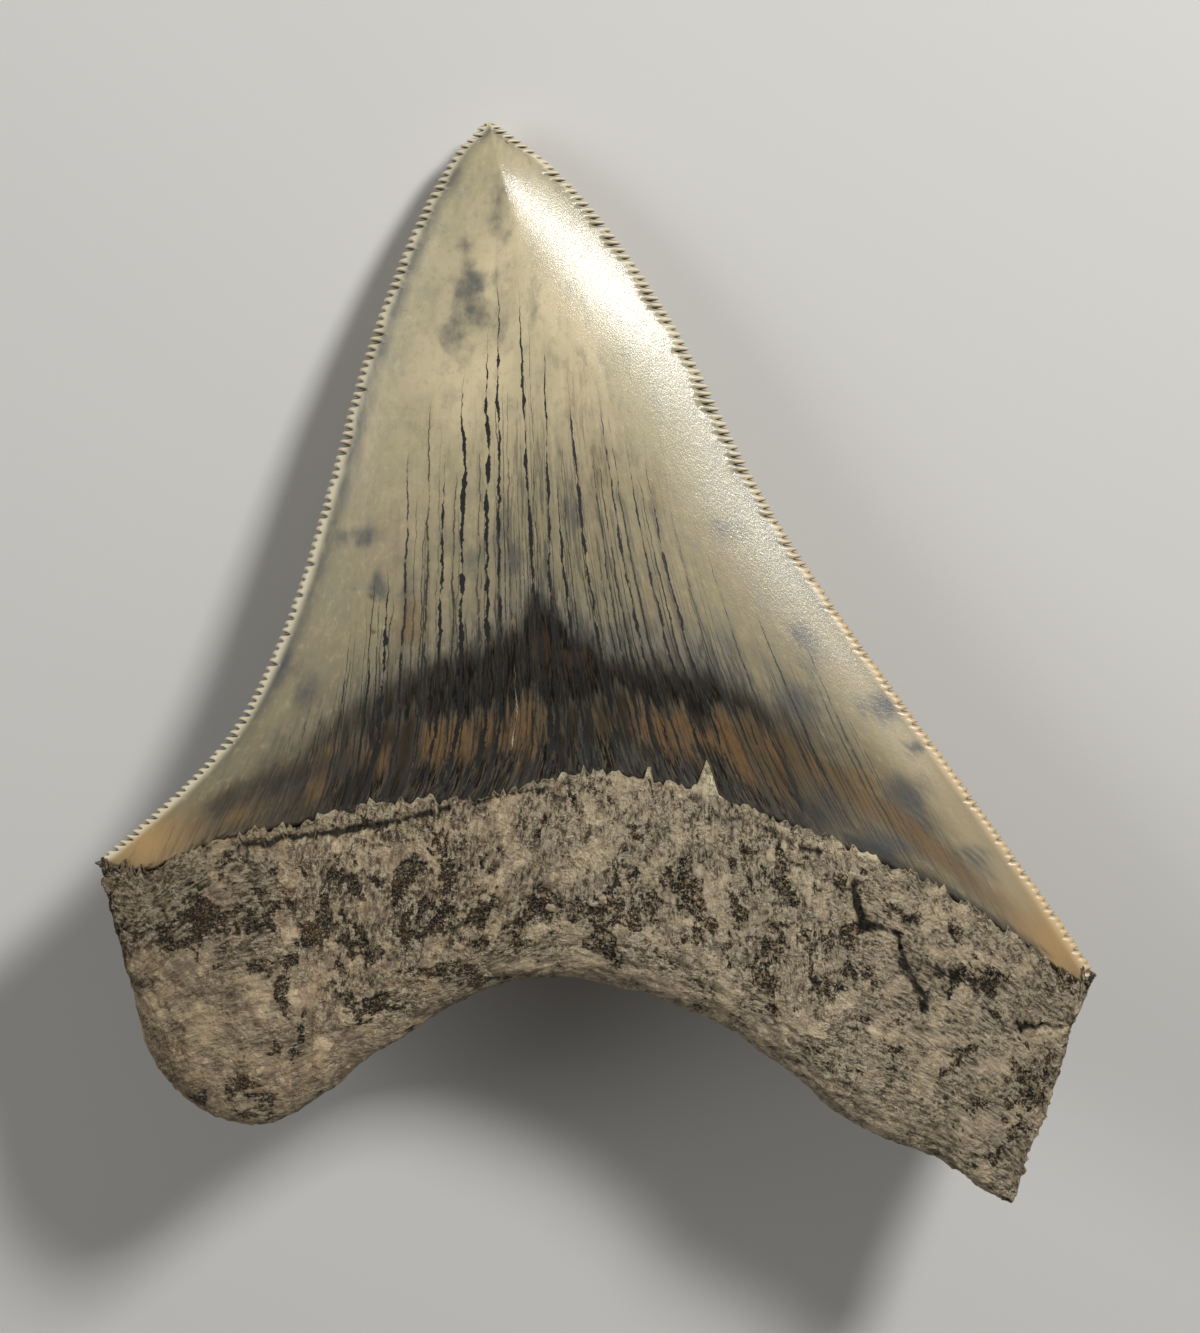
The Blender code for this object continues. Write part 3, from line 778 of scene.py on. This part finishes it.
# %% Wrap a node's output so that it can be used in expressions
class Shade:
    """One output of a node, or none yet, in the tree of one finish."""

    def __init__(self, tree, socket=None):
        self.tree = tree
        self.socket = socket

    def make(self, kind, sockets=(), out=0, **settings):
        node = self.tree.nodes.new("ShaderNode" + kind)
        for name, value in settings.items():
            setattr(node, name, value)
        for key, value in dict(sockets).items():
            if isinstance(value, Shade):
                self.tree.links.new(value.socket, node.inputs[key])
            else:
                node.inputs[key].default_value = value
        return Shade(self.tree, node.outputs[out])

    def math(self, operation, first, second=0.0, clamp=False):
        return self.make("Math", {0: first, 1: second}, operation=operation, use_clamp=clamp)

    def __add__(self, other):
        return self.math("ADD", self, other)

    def __radd__(self, other):
        return self.math("ADD", other, self)

    def __sub__(self, other):
        return self.math("SUBTRACT", self, other)

    def __rsub__(self, other):
        return self.math("SUBTRACT", other, self)

    def __mul__(self, other):
        return self.math("MULTIPLY", self, other)

    def __rmul__(self, other):
        return self.math("MULTIPLY", other, self)

    def __truediv__(self, other):
        return self.math("DIVIDE", self, other)

    def __abs__(self):
        return self.math("ABSOLUTE", self)

    def floor(self):
        return self.math("FLOOR", self)

    def most(self, other):
        return self.math("MAXIMUM", self, other)

    def clipped(self):
        return self.math("ADD", self, 0.0, clamp=True)

    def between(self, low, high):
        """0 below low, 1 above high, with a smooth rise between them, or a fall if low is above high."""
        sockets = {"Value": self, "From Min": low, "From Max": high}
        return self.make("MapRange", sockets, interpolation_type="SMOOTHSTEP")

    def attribute(self, name):
        vector = self.make("Attribute", out="Vector", attribute_name=name)
        return vector, vector.parts()

    def parts(self):
        first = self.make("SeparateXYZ", {0: self})
        outputs = first.socket.node.outputs
        return [Shade(self.tree, outputs[k]) for k in range(3)]

    def vector(self, x, y, z):
        return self.make("CombineXYZ", {0: x, 1: y, 2: z})

    def noise(self, scale, detail=4.0, roughness=0.6, distortion=0.0):
        sockets = {"Vector": self, "Scale": scale, "Detail": detail, "Roughness": roughness}
        sockets["Distortion"] = distortion
        return self.make("TexNoise", sockets, out="Fac")

    def random(self):
        """Three random numbers for each whole number."""
        colour = self.make("TexWhiteNoise", {"W": self}, out="Color", noise_dimensions="1D")
        return colour.parts()

    def mix(self, share, first, second):
        sockets = {0: share, 6: first, 7: second}
        return self.make("Mix", sockets, out=2, data_type="RGBA")

    def coats(self, colour, *coats):
        """Lay coats over a colour, one after the other, each given as its share and its colour."""
        for share, coat in coats:
            colour = self.mix(share, colour, coat)
        return colour

    def bump(self, height, distance):
        return self.make("Bump", {"Height": height, "Strength": 1.0, "Distance": distance})


# %% Start a finish, and give colours as they look on a screen
def new_finish(name):
    material = bpy.data.materials.new(name)
    material.use_nodes = True
    tree = material.node_tree
    return material, Shade(tree), tree.nodes["Principled BSDF"]


def plug(shader, name, value):
    shader.id_data.links.new(value.socket, shader.inputs[name])


def rgb(red, green, blue):
    """A colour given as it looks on a screen, 0 to 255, as the light that a shader works with."""
    def light(value):
        value /= 255
        return value / 12.92 if value <= 0.04045 else ((value + 0.055) / 1.055) ** 2.4
    return (light(red), light(green), light(blue), 1.0)


print("a cream of 196, 184, 152 is this much light:", [round(c, 3) for c in rgb(196, 184, 152)[:3]])

# %% [markdown]
# ## The enamel
# Real enamel is translucent, cloudy and glossy. Its colour is built in coats, in the order in which they
# would be painted: cream that is darker towards the root, partly its own tone and partly painted light
# that falls off from the tip, with painted light on the lower right flank; a greyer rim along the saw edge,
# blue-grey and brown stains, grey streaks, the ochre zone above the root, the charcoal band with its ragged
# top, the cracks, and last the serrations with a painted highlight on each bead and painted shade in the
# notches, the pits and a painted shade along the root's rim. It could be painted by hand as a picture, but
# coats can be changed one at a time and stay sharp from close by. Each coat is a share and a colour: the
# marks that the mesh stores say where it lies, and noises break it up, most of them stretched along the
# grain, which cracks and stains follow.

# %% Gather the marks stored on the crown and the noises that break them up
def crown_places(shade):
    """What the coats share: what is known at each point of the crown, by name."""
    here = SimpleNamespace()
    _, (here.grain, here.above, here.height) = shade.attribute("grain")
    _, (here.inward, here.notch, here.on_right) = shade.attribute("edge")
    _, (here.over_band, here.under_band, here.band_strength) = shade.attribute("band")
    _, (here.blue, here.brown, here.dark) = shade.attribute("stain")
    _, (here.pale, here.pits, here.centre) = shade.attribute("spots")
    _, (here.crack_strength, here.lingual, _) = shade.attribute("cracked")
    here.flat = shade.vector(here.grain, here.above, here.lingual * 20.0)
    here.clouds = here.flat.noise(0.09, 3.0, 0.55)
    here.wisps = here.flat.noise(0.3, 5.0, 0.6, 0.2)
    here.mottle = here.flat.noise(1.1, 4.0, 0.65)
    stretched = shade.vector(here.grain * 1.2, here.above * 0.17, here.lingual * 9.0)
    here.streaks = stretched.noise(1.0, 5.0, 0.68, 0.25)
    here.broad_streaks = shade.vector(here.grain * 0.45, here.above * 0.09, 3.0).noise(1.0, 3.0, 0.6)
    here.fine_streaks = shade.vector(here.grain * 4.0, here.above * 0.5, 5.0).noise(1.0, 3.0, 0.7, 0.2)
    here.bead = here.inward.between(1.5, 0.5)
    return here


# %% Lay the cream
def cream(shade, here):
    flank = here.inward.between(11.0, 3.0) * here.above.between(4.0, 24.0)
    rim = here.inward.between(3.0, 1.2) * (1 - 0.6 * here.on_right) * here.above.between(1.0, 16.0)
    rim = rim * (0.55 + 0.45 * here.wisps.between(0.35, 0.6))
    haze = here.centre * (0.3 + 0.7 * here.streaks.between(0.36, 0.6))
    haze = haze * (0.35 + 0.65 * here.broad_streaks.between(0.3, 0.6))
    # Painted light: the right flank near its cutting edge, low on the crown, is lighter.
    painted_glow = here.on_right * here.inward.between(11.0, 3.0) * here.above.between(28.0, 12.0)
    # Darker towards the root and paler towards the tip: partly the enamel's own tone, partly painted light
    # that falls off from the tip.
    return shade.coats(
        shade.mix(here.above.between(1.0, 30.0), rgb(116, 103, 80), rgb(166, 153, 124)),
        (here.above.between(25.0, 44.0), rgb(210, 195, 158)),
        (flank * 0.45, rgb(140, 134, 110)),
        (here.clouds.between(0.6, 0.4) * 0.35, rgb(150, 144, 112)),
        (here.wisps.between(0.48, 0.72) * 0.4, rgb(132, 130, 114)),
        (here.wisps.between(0.46, 0.3) * 0.18, rgb(208, 196, 158)),
        (here.mottle.between(0.52, 0.72) * 0.22, rgb(220, 204, 160)),
        (here.mottle.between(0.48, 0.3) * 0.25, rgb(122, 110, 80)),
        (rim * 0.85, rgb(90, 92, 86)),
        (haze * 0.7, rgb(106, 98, 77)),
        # Painted light on the lower right flank.
        (painted_glow * 0.6, rgb(184, 168, 134)),
    )


# %% Lay the blue-grey, brown and pale stains
def stained(shade, here, colour):
    blue_cloud = (here.blue * 1.3 + 1.3 * here.wisps + 0.6 * here.mottle - 1.25).between(0.0, 0.9)
    brown_cloud = (here.brown * 1.4 + 1.2 * here.wisps + 0.4 * here.streaks - 1.3).between(0.0, 0.8)
    return shade.coats(
        colour,
        (blue_cloud * 0.85, rgb(76, 80, 83)),
        (brown_cloud * 0.7, rgb(118, 92, 60)),
        (here.pale * 0.95, rgb(178, 145, 97)),
    )


# %% [markdown]
# ## Cracks in the enamel
# Stretched noise could stand for cracks, but a hairline crack is crisper than noise can be. So the crown
# is divided across its grain into narrow strips, and each strip gets one wandering line, at a random
# place, of a random length and strength. Three such layers, from wide strips to narrow ones, give few
# strong cracks and many faint ones. The cracks that can be told apart on the real tooth are drawn one by
# one. All of them are only darker and duller than the enamel beside them: they have no depth.

# %% Divide the crown across its grain into strips, with one wandering crack in each
def strips(grain, above, cell, seed):
    """The strip that a point is in, how far it is from the strip's crack, and the window between cracks."""
    wander = grain.vector(grain * 0.2, above * 0.17, seed).noise(1.0, 5.0, 0.68) - 0.5
    crossed = (grain + wander * min(1.7, cell * 1.3)) / cell + seed * 31.0
    index = crossed.floor()
    where, top, weight = index.random()
    offset = crossed - index - 0.15 - 0.7 * where
    window = index + offset.math("GREATER_THAN", offset, 0.0) + 0.5
    return SimpleNamespace(index=index, offset=abs(offset) * cell, top=top, weight=weight, window=window)


# %% Draw one layer of hairline cracks
HAIRLINE_EDGE = 0.08


def hairlines(strip, here, shortest, longest, width, strength):
    reached = shortest + (longest - shortest) * strip.top
    taper = ((reached - here.height) * 2.5).clipped()
    along = here.above.vector(strip.index * 0.7, here.above * 0.55, strip.index * 1.3)
    breaks = along.noise(1.0, 2.0, 0.6)
    half = width * (0.5 + 0.5 * strip.weight) * (0.35 + 0.65 * taper) * (0.6 + 0.8 * breaks)
    line = ((half - strip.offset) / HAIRLINE_EDGE + 0.5).clipped() * taper.between(0.0, 0.12)
    line = line * (0.15 + 0.85 * breaks.between(0.34, 0.46))
    return line * (0.5 + 0.5 * strip.weight) * strength


# %% Draw the long cracks that can be told apart
LONG_CRACKS = [
    (-2.9, 0.0, 44.0, 0.2), (0.0, 0.0, 48.0, 0.2), (1.5, 0.0, 54.0, 0.15), (7.2, -0.05, 52.0, 0.22),
    (7.4, 0.055, 47.0, 0.18), (14.0, 0.0, 42.0, 0.18), (19.6, 0.0, 39.0, 0.16), (23.2, 0.0, 36.0, 0.14),
    (26.0, 0.0, 34.0, 0.17), (-5.2, 0.0, 36.0, 0.15), (-11.2, 0.0, 25.0, 0.26), (10.6, 0.0, 33.0, 0.16),
]
WHITE_CRACK = [(3.2, 0.0, 13.5, 0.08)]
LONG_CRACK_EDGE = 0.09


def long_cracks(here, cracks):
    """Each crack starts at a place on the grain, leans across it, reaches a height and has a width."""
    grain, above = here.grain, here.above
    wander = (grain.vector(above * 0.16, grain * 0.1, 1.0).noise(1.0, 5.0, 0.66) - 0.5) * 1.6
    jitter = (grain.vector(above * 1.3, grain * 0.5, 4.0).noise(1.0, 2.0, 0.6) - 0.5) * 0.4
    swell = grain.vector(above * 0.5, grain * 0.6, 9.0).noise(1.0, 3.0, 0.6)
    lines = above * 0.0
    for start, lean_in_grain, top, width in cracks:
        offset = abs(grain + wander + jitter - above * lean_in_grain - start)
        half = (width * 2.0) * swell.between(0.3, 0.7) * above.between(top, top - 12.0)
        line = ((half - offset) / LONG_CRACK_EDGE + 0.4).clipped()
        lines = lines.most(line * above.between(top, top - 1.5))
    return lines * (1 - here.lingual)


# %% Put all cracks in one mask
WIDEST_STRIP, MIDDLE_STRIP, NARROWEST_STRIP = 2.5, 1.25, 0.62


def crack(here):
    """Find the strips, and where the cracks are. The widest strips are also used by the ochre zone."""
    here.wide_strip = strips(here.grain, here.above, WIDEST_STRIP, 1.0)
    middle_strip = strips(here.grain, here.above, MIDDLE_STRIP, 2.0)
    narrow_strip = strips(here.grain, here.above, NARROWEST_STRIP, 3.0)
    cracks = hairlines(here.wide_strip, here, 0.6, 1.08, 0.15, 1.0)
    cracks = cracks.most(hairlines(middle_strip, here, 0.4, 1.0, 0.12, 0.95))
    cracks = cracks.most(hairlines(narrow_strip, here, 0.15, 0.9, 0.08, 0.9))
    cracks = (cracks * here.crack_strength).most(long_cracks(here, LONG_CRACKS))
    here.cracks = cracks * here.above.between(-0.3, 0.3)


def cracked(shade, here, colour):
    halo = here.wide_strip.offset.between(0.75, 0.15) * here.height.between(0.9, 0.4)
    halo = halo * here.wide_strip.top * here.crack_strength
    white = long_cracks(here, WHITE_CRACK) * here.above.between(4.0, 5.0)
    return shade.coats(
        colour,
        (halo * 0.35, rgb(84, 82, 74)),
        (here.cracks.clipped(), rgb(13, 12, 10)),
        (white * 0.8, rgb(190, 182, 160)),
    )


# %% [markdown]
# ## The band above the root
# The dark band could be one stripe with a noisy border, but on the real tooth it has three parts: grey
# streaks that reach up from it, its charcoal core, and an ochre zone under it, which is dark again where
# it meets the root. Both its borders are torn along the grain. In the ochre zone the tint changes from one
# window between two cracks to the next, so each window gets its own random tint.

# %% Tear the band's borders, and lay the grey streaks that rise from it
def tear(here):
    here.ragged = (here.streaks - 0.5) * 16.0 + (here.broad_streaks - 0.5) * 10.0
    here.tint, here.fall, here.shine = here.wide_strip.window.random()
    here.torn_foot = here.under_band + (here.streaks - 0.5) * 7.0 + (here.fall - 0.5) * 2.0


def streaked(shade, here, colour):
    rising = (here.over_band - 1.0 + here.ragged).between(5.5, -1.5) * here.band_strength
    grey_streak = (here.streaks + 0.3 * here.fine_streaks).between(0.6, 0.74)
    return shade.coats(
        colour,
        (rising * 0.5, rgb(122, 120, 111)),
        (rising * grey_streak * 0.95, rgb(40, 39, 36)),
    )


# %% Mix the ochre and the charcoal
def ochre(shade, here):
    foot = shade.mix(here.fine_streaks.between(0.46, 0.58), rgb(14, 12, 9), rgb(84, 74, 58))
    foot = shade.mix(here.broad_streaks.between(0.44, 0.6) * 0.8, foot, rgb(30, 24, 17))
    over_foot = here.above - 1.8 - 3.0 * here.fall + (here.streaks - 0.5) * 8.0
    return shade.coats(
        shade.mix(here.tint.between(0.1, 0.6), rgb(84, 74, 54), rgb(112, 87, 58)),
        (here.mottle.between(0.46, 0.62) * 0.5, rgb(84, 74, 56)),
        ((here.broad_streaks + 0.3 * here.shine).between(0.7, 0.84) * 0.85, rgb(40, 37, 31)),
        (here.streaks.between(0.58, 0.64) * 0.9, rgb(22, 21, 19)),
        (here.fine_streaks.between(0.52, 0.68) * 0.3, rgb(44, 38, 30)),
        (over_foot.between(1.2, -1.0), foot),
    )


def charcoal(shade, here):
    return shade.coats(
        shade.mix(here.fine_streaks.between(0.42, 0.6), rgb(14, 12, 10), rgb(56, 49, 39)),
        (here.mottle.between(0.5, 0.66) * 0.35, rgb(40, 31, 23)),
        ((here.brown * 1.4 + here.streaks - 1.0).between(0.0, 0.8) * 0.7, rgb(74, 55, 37)),
    )


# %% Lay the ochre zone, the shadows and the band's core
def banded(shade, here, colour):
    zone = here.torn_foot.between(1.2, -1.2)
    zone_strength = (here.band_strength * 1.2 + 0.16).clipped() * here.above.between(-0.5, 1.0)
    shadow = (here.dark * 1.3 + 1.2 * here.wisps + 0.3 * here.streaks - 1.2).between(0.0, 0.7)
    smoke = here.centre * here.streaks.between(0.5, 0.58) * here.broad_streaks.between(0.48, 0.56)
    core = (here.over_band + here.ragged * 0.55).between(1.6, -1.4) * here.torn_foot.between(-1.2, 1.2)
    return shade.coats(
        colour,
        (zone * zone_strength, ochre(shade, here)),
        (shadow * 0.75, rgb(56, 56, 54)),
        (smoke * 0.6, rgb(84, 85, 82)),
        (core * here.band_strength, charcoal(shade, here)),
    )


# %% [markdown]
# ## The last coats and the gloss
# The serrations are duller than the face between them: grey-brown, with a painted highlight in cream on
# top of each bead and painted shade in the notches, and browner low on the right. Painted shade also darkens
# the enamel along the root's rim. The gloss could be a clear coat over a dull base, but enamel is smooth by
# itself. So a low roughness with wisps in it is enough, and a bump of a few hundredths of a millimetre breaks
# up the border of a reflection.

# %% Lay the serrations with their painted highlights and shade, the pits, and painted shade along the root
def edged(shade, here, colour):
    lower = here.on_right * here.above.between(38.0, 20.0)
    # The serrations' own grey-brown, with a painted highlight in cream on the top of each bead and painted
    # shade in the notches. Low on the right the enamel itself is browner.
    highlit_cap = shade.mix(lower, rgb(222, 210, 178), rgb(206, 178, 134))
    shaded_gap = shade.mix(lower, rgb(84, 76, 62), rgb(134, 98, 60))
    serration = shade.mix(here.notch.between(0.05, 0.35), highlit_cap, rgb(140, 128, 100))
    serration = shade.mix(here.notch.between(0.35, 0.85), serration, shaded_gap)
    # Painted shade: a dark line on the enamel along the root's rim, where the two meet.
    root_line_shade = (here.above + (here.mottle - 0.5) * 2.4).between(0.9, 0.1)
    return shade.coats(
        colour,
        # The serrations, with their painted highlights and shade.
        (here.bead * 0.85, serration),
        (here.pits.between(0.25, 0.6) * 0.85, rgb(60, 44, 28)),
        # Painted shade along the root's rim.
        (root_line_shade * 0.9, rgb(24, 20, 15)),
    )


# %% Put the coats, the gloss and the fine relief together
ENAMEL_IOR = 1.52


def enamel_finish():
    material, shade, shader = new_finish("cloudy_enamel")
    here = crown_places(shade)
    crack(here)
    tear(here)
    colour = cream(shade, here)
    for lay in (stained, streaked, banded, cracked, edged):
        colour = lay(shade, here, colour)
    plug(shader, "Base Color", colour)

    dull = 0.3 * here.cracks + 0.15 * here.bead + 0.04 * here.above.between(8.0, 1.0)
    plug(shader, "Roughness", 0.15 + 0.1 * here.wisps + dull)
    shader.inputs["IOR"].default_value = ENAMEL_IOR
    ripple = here.flat.noise(2.8, 3.0, 0.75) * 0.02
    sparkle = here.flat.noise(6.0, 1.0, 0.5) * 0.014 * here.above.between(34.0, 46.0)
    plug(shader, "Normal", shade.bump(ripple + sparkle - 0.2 * here.pits, MM))
    return material


crown.data.materials.append(enamel_finish())
print("the enamel's finish has", len(crown.data.materials[0].node_tree.nodes), "nodes")

# %% [markdown]
# ## The fossil bone
# One noise over the whole root would look like plaster, because the colour of bone follows its form. Its
# skin is a pale grey-brown with fine fibres, with painted light on the right side and a brownish painted
# shade on the left lobe. The places where the skin is lost are dark and brown with pale crumbs, and the
# crevices get painted shade. Because the sculpting stored how much skin is lost and how deep each crevice
# is, the shader only has to colour them, and adds what is too fine for the mesh: fibres, crumbs and specks,
# as colour and as a bump. Where the bump raises them they are paler and where it sinks them darker, partly
# their own colour and partly painted light and shade. They are strong where the bone is rough and faint on
# the stretches that are worn smooth.

# %% Gather the marks stored on the root and the noises that break them up
def root_places(shade):
    """What is known at each point of the root, by name."""
    here = SimpleNamespace()
    _, (here.lost, here.hollow, here.pale) = shade.attribute("skin")
    _, (here.flake, here.worn, upright) = shade.attribute("rim")
    _, (along, depth, height) = shade.attribute("flow")
    point, (x, _, _) = shade.attribute("place")
    here.clouds = point.noise(0.2, 3.0, 0.6)
    here.blotch = point.noise(0.5, 5.0, 0.68)
    here.tone = point.noise(0.4, 4.0, 0.7)
    here.crumbs = point.noise(1.9, 5.0, 0.78, 0.2)
    here.specks = point.noise(5.0, 3.0, 0.75)
    lying = shade.vector(along * 0.9, depth * 2.6, height * 0.6).noise(1.0, 6.0, 0.76, 0.3)
    standing = shade.vector(along * 2.3, depth * 1.0, height * 0.6 + 7.0).noise(1.0, 6.0, 0.76, 0.3)
    here.strand = lying + (standing - lying) * upright
    worn_smooth = point.noise(0.28, 3.0, 0.55).between(0.5, 0.58)
    here.rough = (0.35 + 0.65 * here.worn) * (1 - 0.6 * worn_smooth)
    here.grit = here.rough * (0.2 + 0.8 * here.tone.between(0.44, 0.56))
    # Painted light on the right side of the root, where the key light comes from, and a brownish painted
    # shade on the left lobe.
    here.paler_side = x.between(-4.0, 14.0)
    here.browner_side = x.between(-14.0, -36.0)
    return here


# %% Lay the bone's skin
def skin(shade, here):
    return shade.coats(
        shade.mix(here.clouds.between(0.4, 0.6), rgb(150, 128, 101), rgb(204, 180, 146)),
        (here.tone.between(0.51, 0.59) * 0.6, rgb(218, 190, 142)),
        (here.tone.between(0.46, 0.38) * 0.65, rgb(132, 120, 104)),
        (here.lost * 0.5, rgb(96, 77, 56)),
        # Painted light: the right side is paler.
        (here.paler_side * 0.4, rgb(236, 219, 188)),
        ((1 - here.worn) * 0.3, rgb(118, 97, 73)),
        (here.pale * 0.5, rgb(226, 204, 166)),
        (here.blotch.between(0.47, 0.4) * 0.5, rgb(240, 218, 178)),
        # Raised fibres and crumbs are paler and sunk ones darker, as the bump below shapes them: partly their
        # own colour, partly painted light and shade.
        (here.strand.between(0.515, 0.56) * 0.95 * here.rough, rgb(58, 46, 31)),
        (here.strand.between(0.485, 0.43) * 0.9 * here.rough, rgb(242, 224, 190)),
        (here.crumbs.between(0.47, 0.42) * here.grit * 0.9, rgb(38, 29, 18)),
        (here.crumbs.between(0.53, 0.57) * here.grit, rgb(255, 242, 212)),
        (here.specks.between(0.42, 0.38) * here.grit * 0.8, rgb(24, 18, 11)),
    )


# %% Lay the spongy inside that shows where skin is lost
def inside(shade, here):
    return shade.coats(
        shade.mix(here.tone.between(0.44, 0.54), rgb(26, 28, 28), rgb(64, 46, 30)),
        # Raised crumbs of the inside are paler: partly their own colour, partly painted light.
        (here.crumbs.between(0.5, 0.58) * 0.75, rgb(140, 118, 88)),
        # Painted light: crumbs on the right side are paler still.
        (here.crumbs.between(0.52, 0.58) * here.paler_side * 0.8, rgb(214, 192, 154)),
        (here.specks.between(0.55, 0.62) * 0.7, rgb(206, 190, 152)),
    )


def bare_share(here):
    """How much of the inside shows: where skin is lost, but ragged along the fibres and around crumbs."""
    share = here.lost * 0.62 + (here.strand - 0.5) * 1.3 + (here.blotch - 0.5) * 2.2
    share = share + (0.5 - here.crumbs) * 0.6 + 0.2 * here.worn
    # Painted light: less of the dark inside shows on the right side.
    return (share - 0.52 - 0.05 * here.paler_side).between(0.0, 0.13)


# %% Put the bone's coats, its dull surface and its fine relief together
BONE_GLOSS = 0.3


def root_finish():
    material, shade, shader = new_finish("fossil_bone")
    here = root_places(shade)
    bare = bare_share(here)
    colour = shade.coats(
        skin(shade, here),
        (bare, inside(shade, here)),
        # Painted shade: the left lobe is darker and browner.
        (here.browner_side * 0.25, rgb(70, 55, 40)),
        # Painted shade: the crevices are drawn nearly black.
        (here.hollow.between(0.2, 0.8) * 0.92, rgb(24, 20, 14)),
        (here.flake * 0.95, rgb(255, 238, 196)),
    )
    plug(shader, "Base Color", colour)
    plug(shader, "Roughness", 0.9 - 0.5 * here.crumbs)
    shader.inputs["Specular IOR Level"].default_value = BONE_GLOSS
    relief = here.crumbs * here.grit * 1.8 - here.strand * here.rough * 2.0 - 0.5 * bare
    plug(shader, "Normal", shade.bump(relief, MM))
    return material


root.data.materials.append(root_finish())
print("the root's finish has", len(root.data.materials[0].node_tree.nodes), "nodes")

# %% [markdown]
# ## Fix both pieces to the model
# The tooth is one rigid thing, so both pieces ride on its one body and stand together for its one solid.

# %% Tie the pieces to the model
for piece, slot in ((crown, "enamel"), (root, "root")):
    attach(piece, "root")
    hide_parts(NODE)

# %% [markdown]
# ## The stage
# The tooth lies on a plain pale floor. The camera looks straight at the labial face, and from far enough
# away that its outline is hardly stretched. A small soft lamp stands where its reflection falls on the
# right flank of the crown, and its size sets the width of that bright patch. A second lamp, larger and
# weaker, keeps the left side open. The world adds only a little light, so the dark band stays dark under
# its gloss. The Standard view shows colours as they were given. The view that Blender starts with would
# soften them.

# %% Lay the floor
FLOOR_SIZE = 2.4
FLOOR_ROUGHNESS = 0.9
floor_mesh = bmesh.new()
bmesh.ops.create_grid(floor_mesh, x_segments=1, y_segments=1, size=FLOOR_SIZE / 2)
floor_data = bpy.data.meshes.new("floor")
floor_mesh.to_mesh(floor_data)
floor_mesh.free()
floor = bpy.data.objects.new("floor", floor_data)
bpy.context.collection.objects.link(floor)
floor_material, _, floor_shader = new_finish("pale_floor")
floor_shader.inputs["Base Color"].default_value = rgb(214, 212, 208)
floor_shader.inputs["Roughness"].default_value = FLOOR_ROUGHNESS
floor_data.materials.append(floor_material)

# %% Place the camera
PICTURE_HEIGHT = 133.3
PICTURE_MIDDLE = (11.2, -54.55, -1.0)
CAMERA_DISTANCE = 0.45
NEAREST_SEEN = 0.01
SENSOR = 36.0


def facing(away, up):
    """A rotation that looks back along away, with up at the top of the picture."""
    back = away.normalized()
    right = up.cross(back).normalized()
    return Matrix((right, back.cross(right), back)).transposed()


middle = to_model @ Vector(PICTURE_MIDDLE)
outward = (turn @ Vector((0, 0, 1))).normalized()
upward = (turn @ Vector((0, 1, 0))).normalized()
rightward = upward.cross(outward)
camera_data = bpy.data.cameras.new("camera")
camera_data.sensor_fit = "VERTICAL"
camera_data.sensor_height = SENSOR
camera_data.lens = SENSOR * CAMERA_DISTANCE / (PICTURE_HEIGHT * MM)
camera_data.clip_start = NEAREST_SEEN
camera = bpy.data.objects.new("camera", camera_data)
bpy.context.collection.objects.link(camera)
stand_at = Matrix.Translation(middle + outward * CAMERA_DISTANCE)
camera.matrix_world = stand_at @ facing(outward, upward).to_4x4()
bpy.context.scene.camera = camera
print("camera lens:", round(camera_data.lens, 1), "mm")

# %% Light the tooth
def add_lamp(name, direction, distance, size, power):
    """A square lamp, in a direction given to the right, up and out of the picture, that faces the tooth."""
    right, up, out = direction
    away = (rightward * right + upward * up + outward * out).normalized()
    lamp = bpy.data.lights.new(name, "AREA")
    lamp.shape = "SQUARE"
    lamp.size = size
    lamp.energy = power
    holder = bpy.data.objects.new(name, lamp)
    bpy.context.collection.objects.link(holder)
    holder.matrix_world = Matrix.Translation(middle + away * distance) @ facing(away, upward).to_4x4()


add_lamp("key_lamp", (0.46, 0.445, 0.768), distance=0.6, size=0.11, power=3.25)
add_lamp("fill_lamp", (-0.82, 0.1, 0.6), distance=0.9, size=0.5, power=2.5)
bpy.context.scene.view_settings.view_transform = "Standard"

# %% Fill the shadows with a faint warm light from all round
AMBIENT_COLOUR, AMBIENT_STRENGTH = (1.0, 0.98, 0.95, 1.0), 0.1
world = bpy.data.worlds.new("studio")
bpy.context.scene.world = world
world.use_nodes = True
background = world.node_tree.nodes["Background"]
background.inputs["Color"].default_value = AMBIENT_COLOUR
background.inputs["Strength"].default_value = AMBIENT_STRENGTH
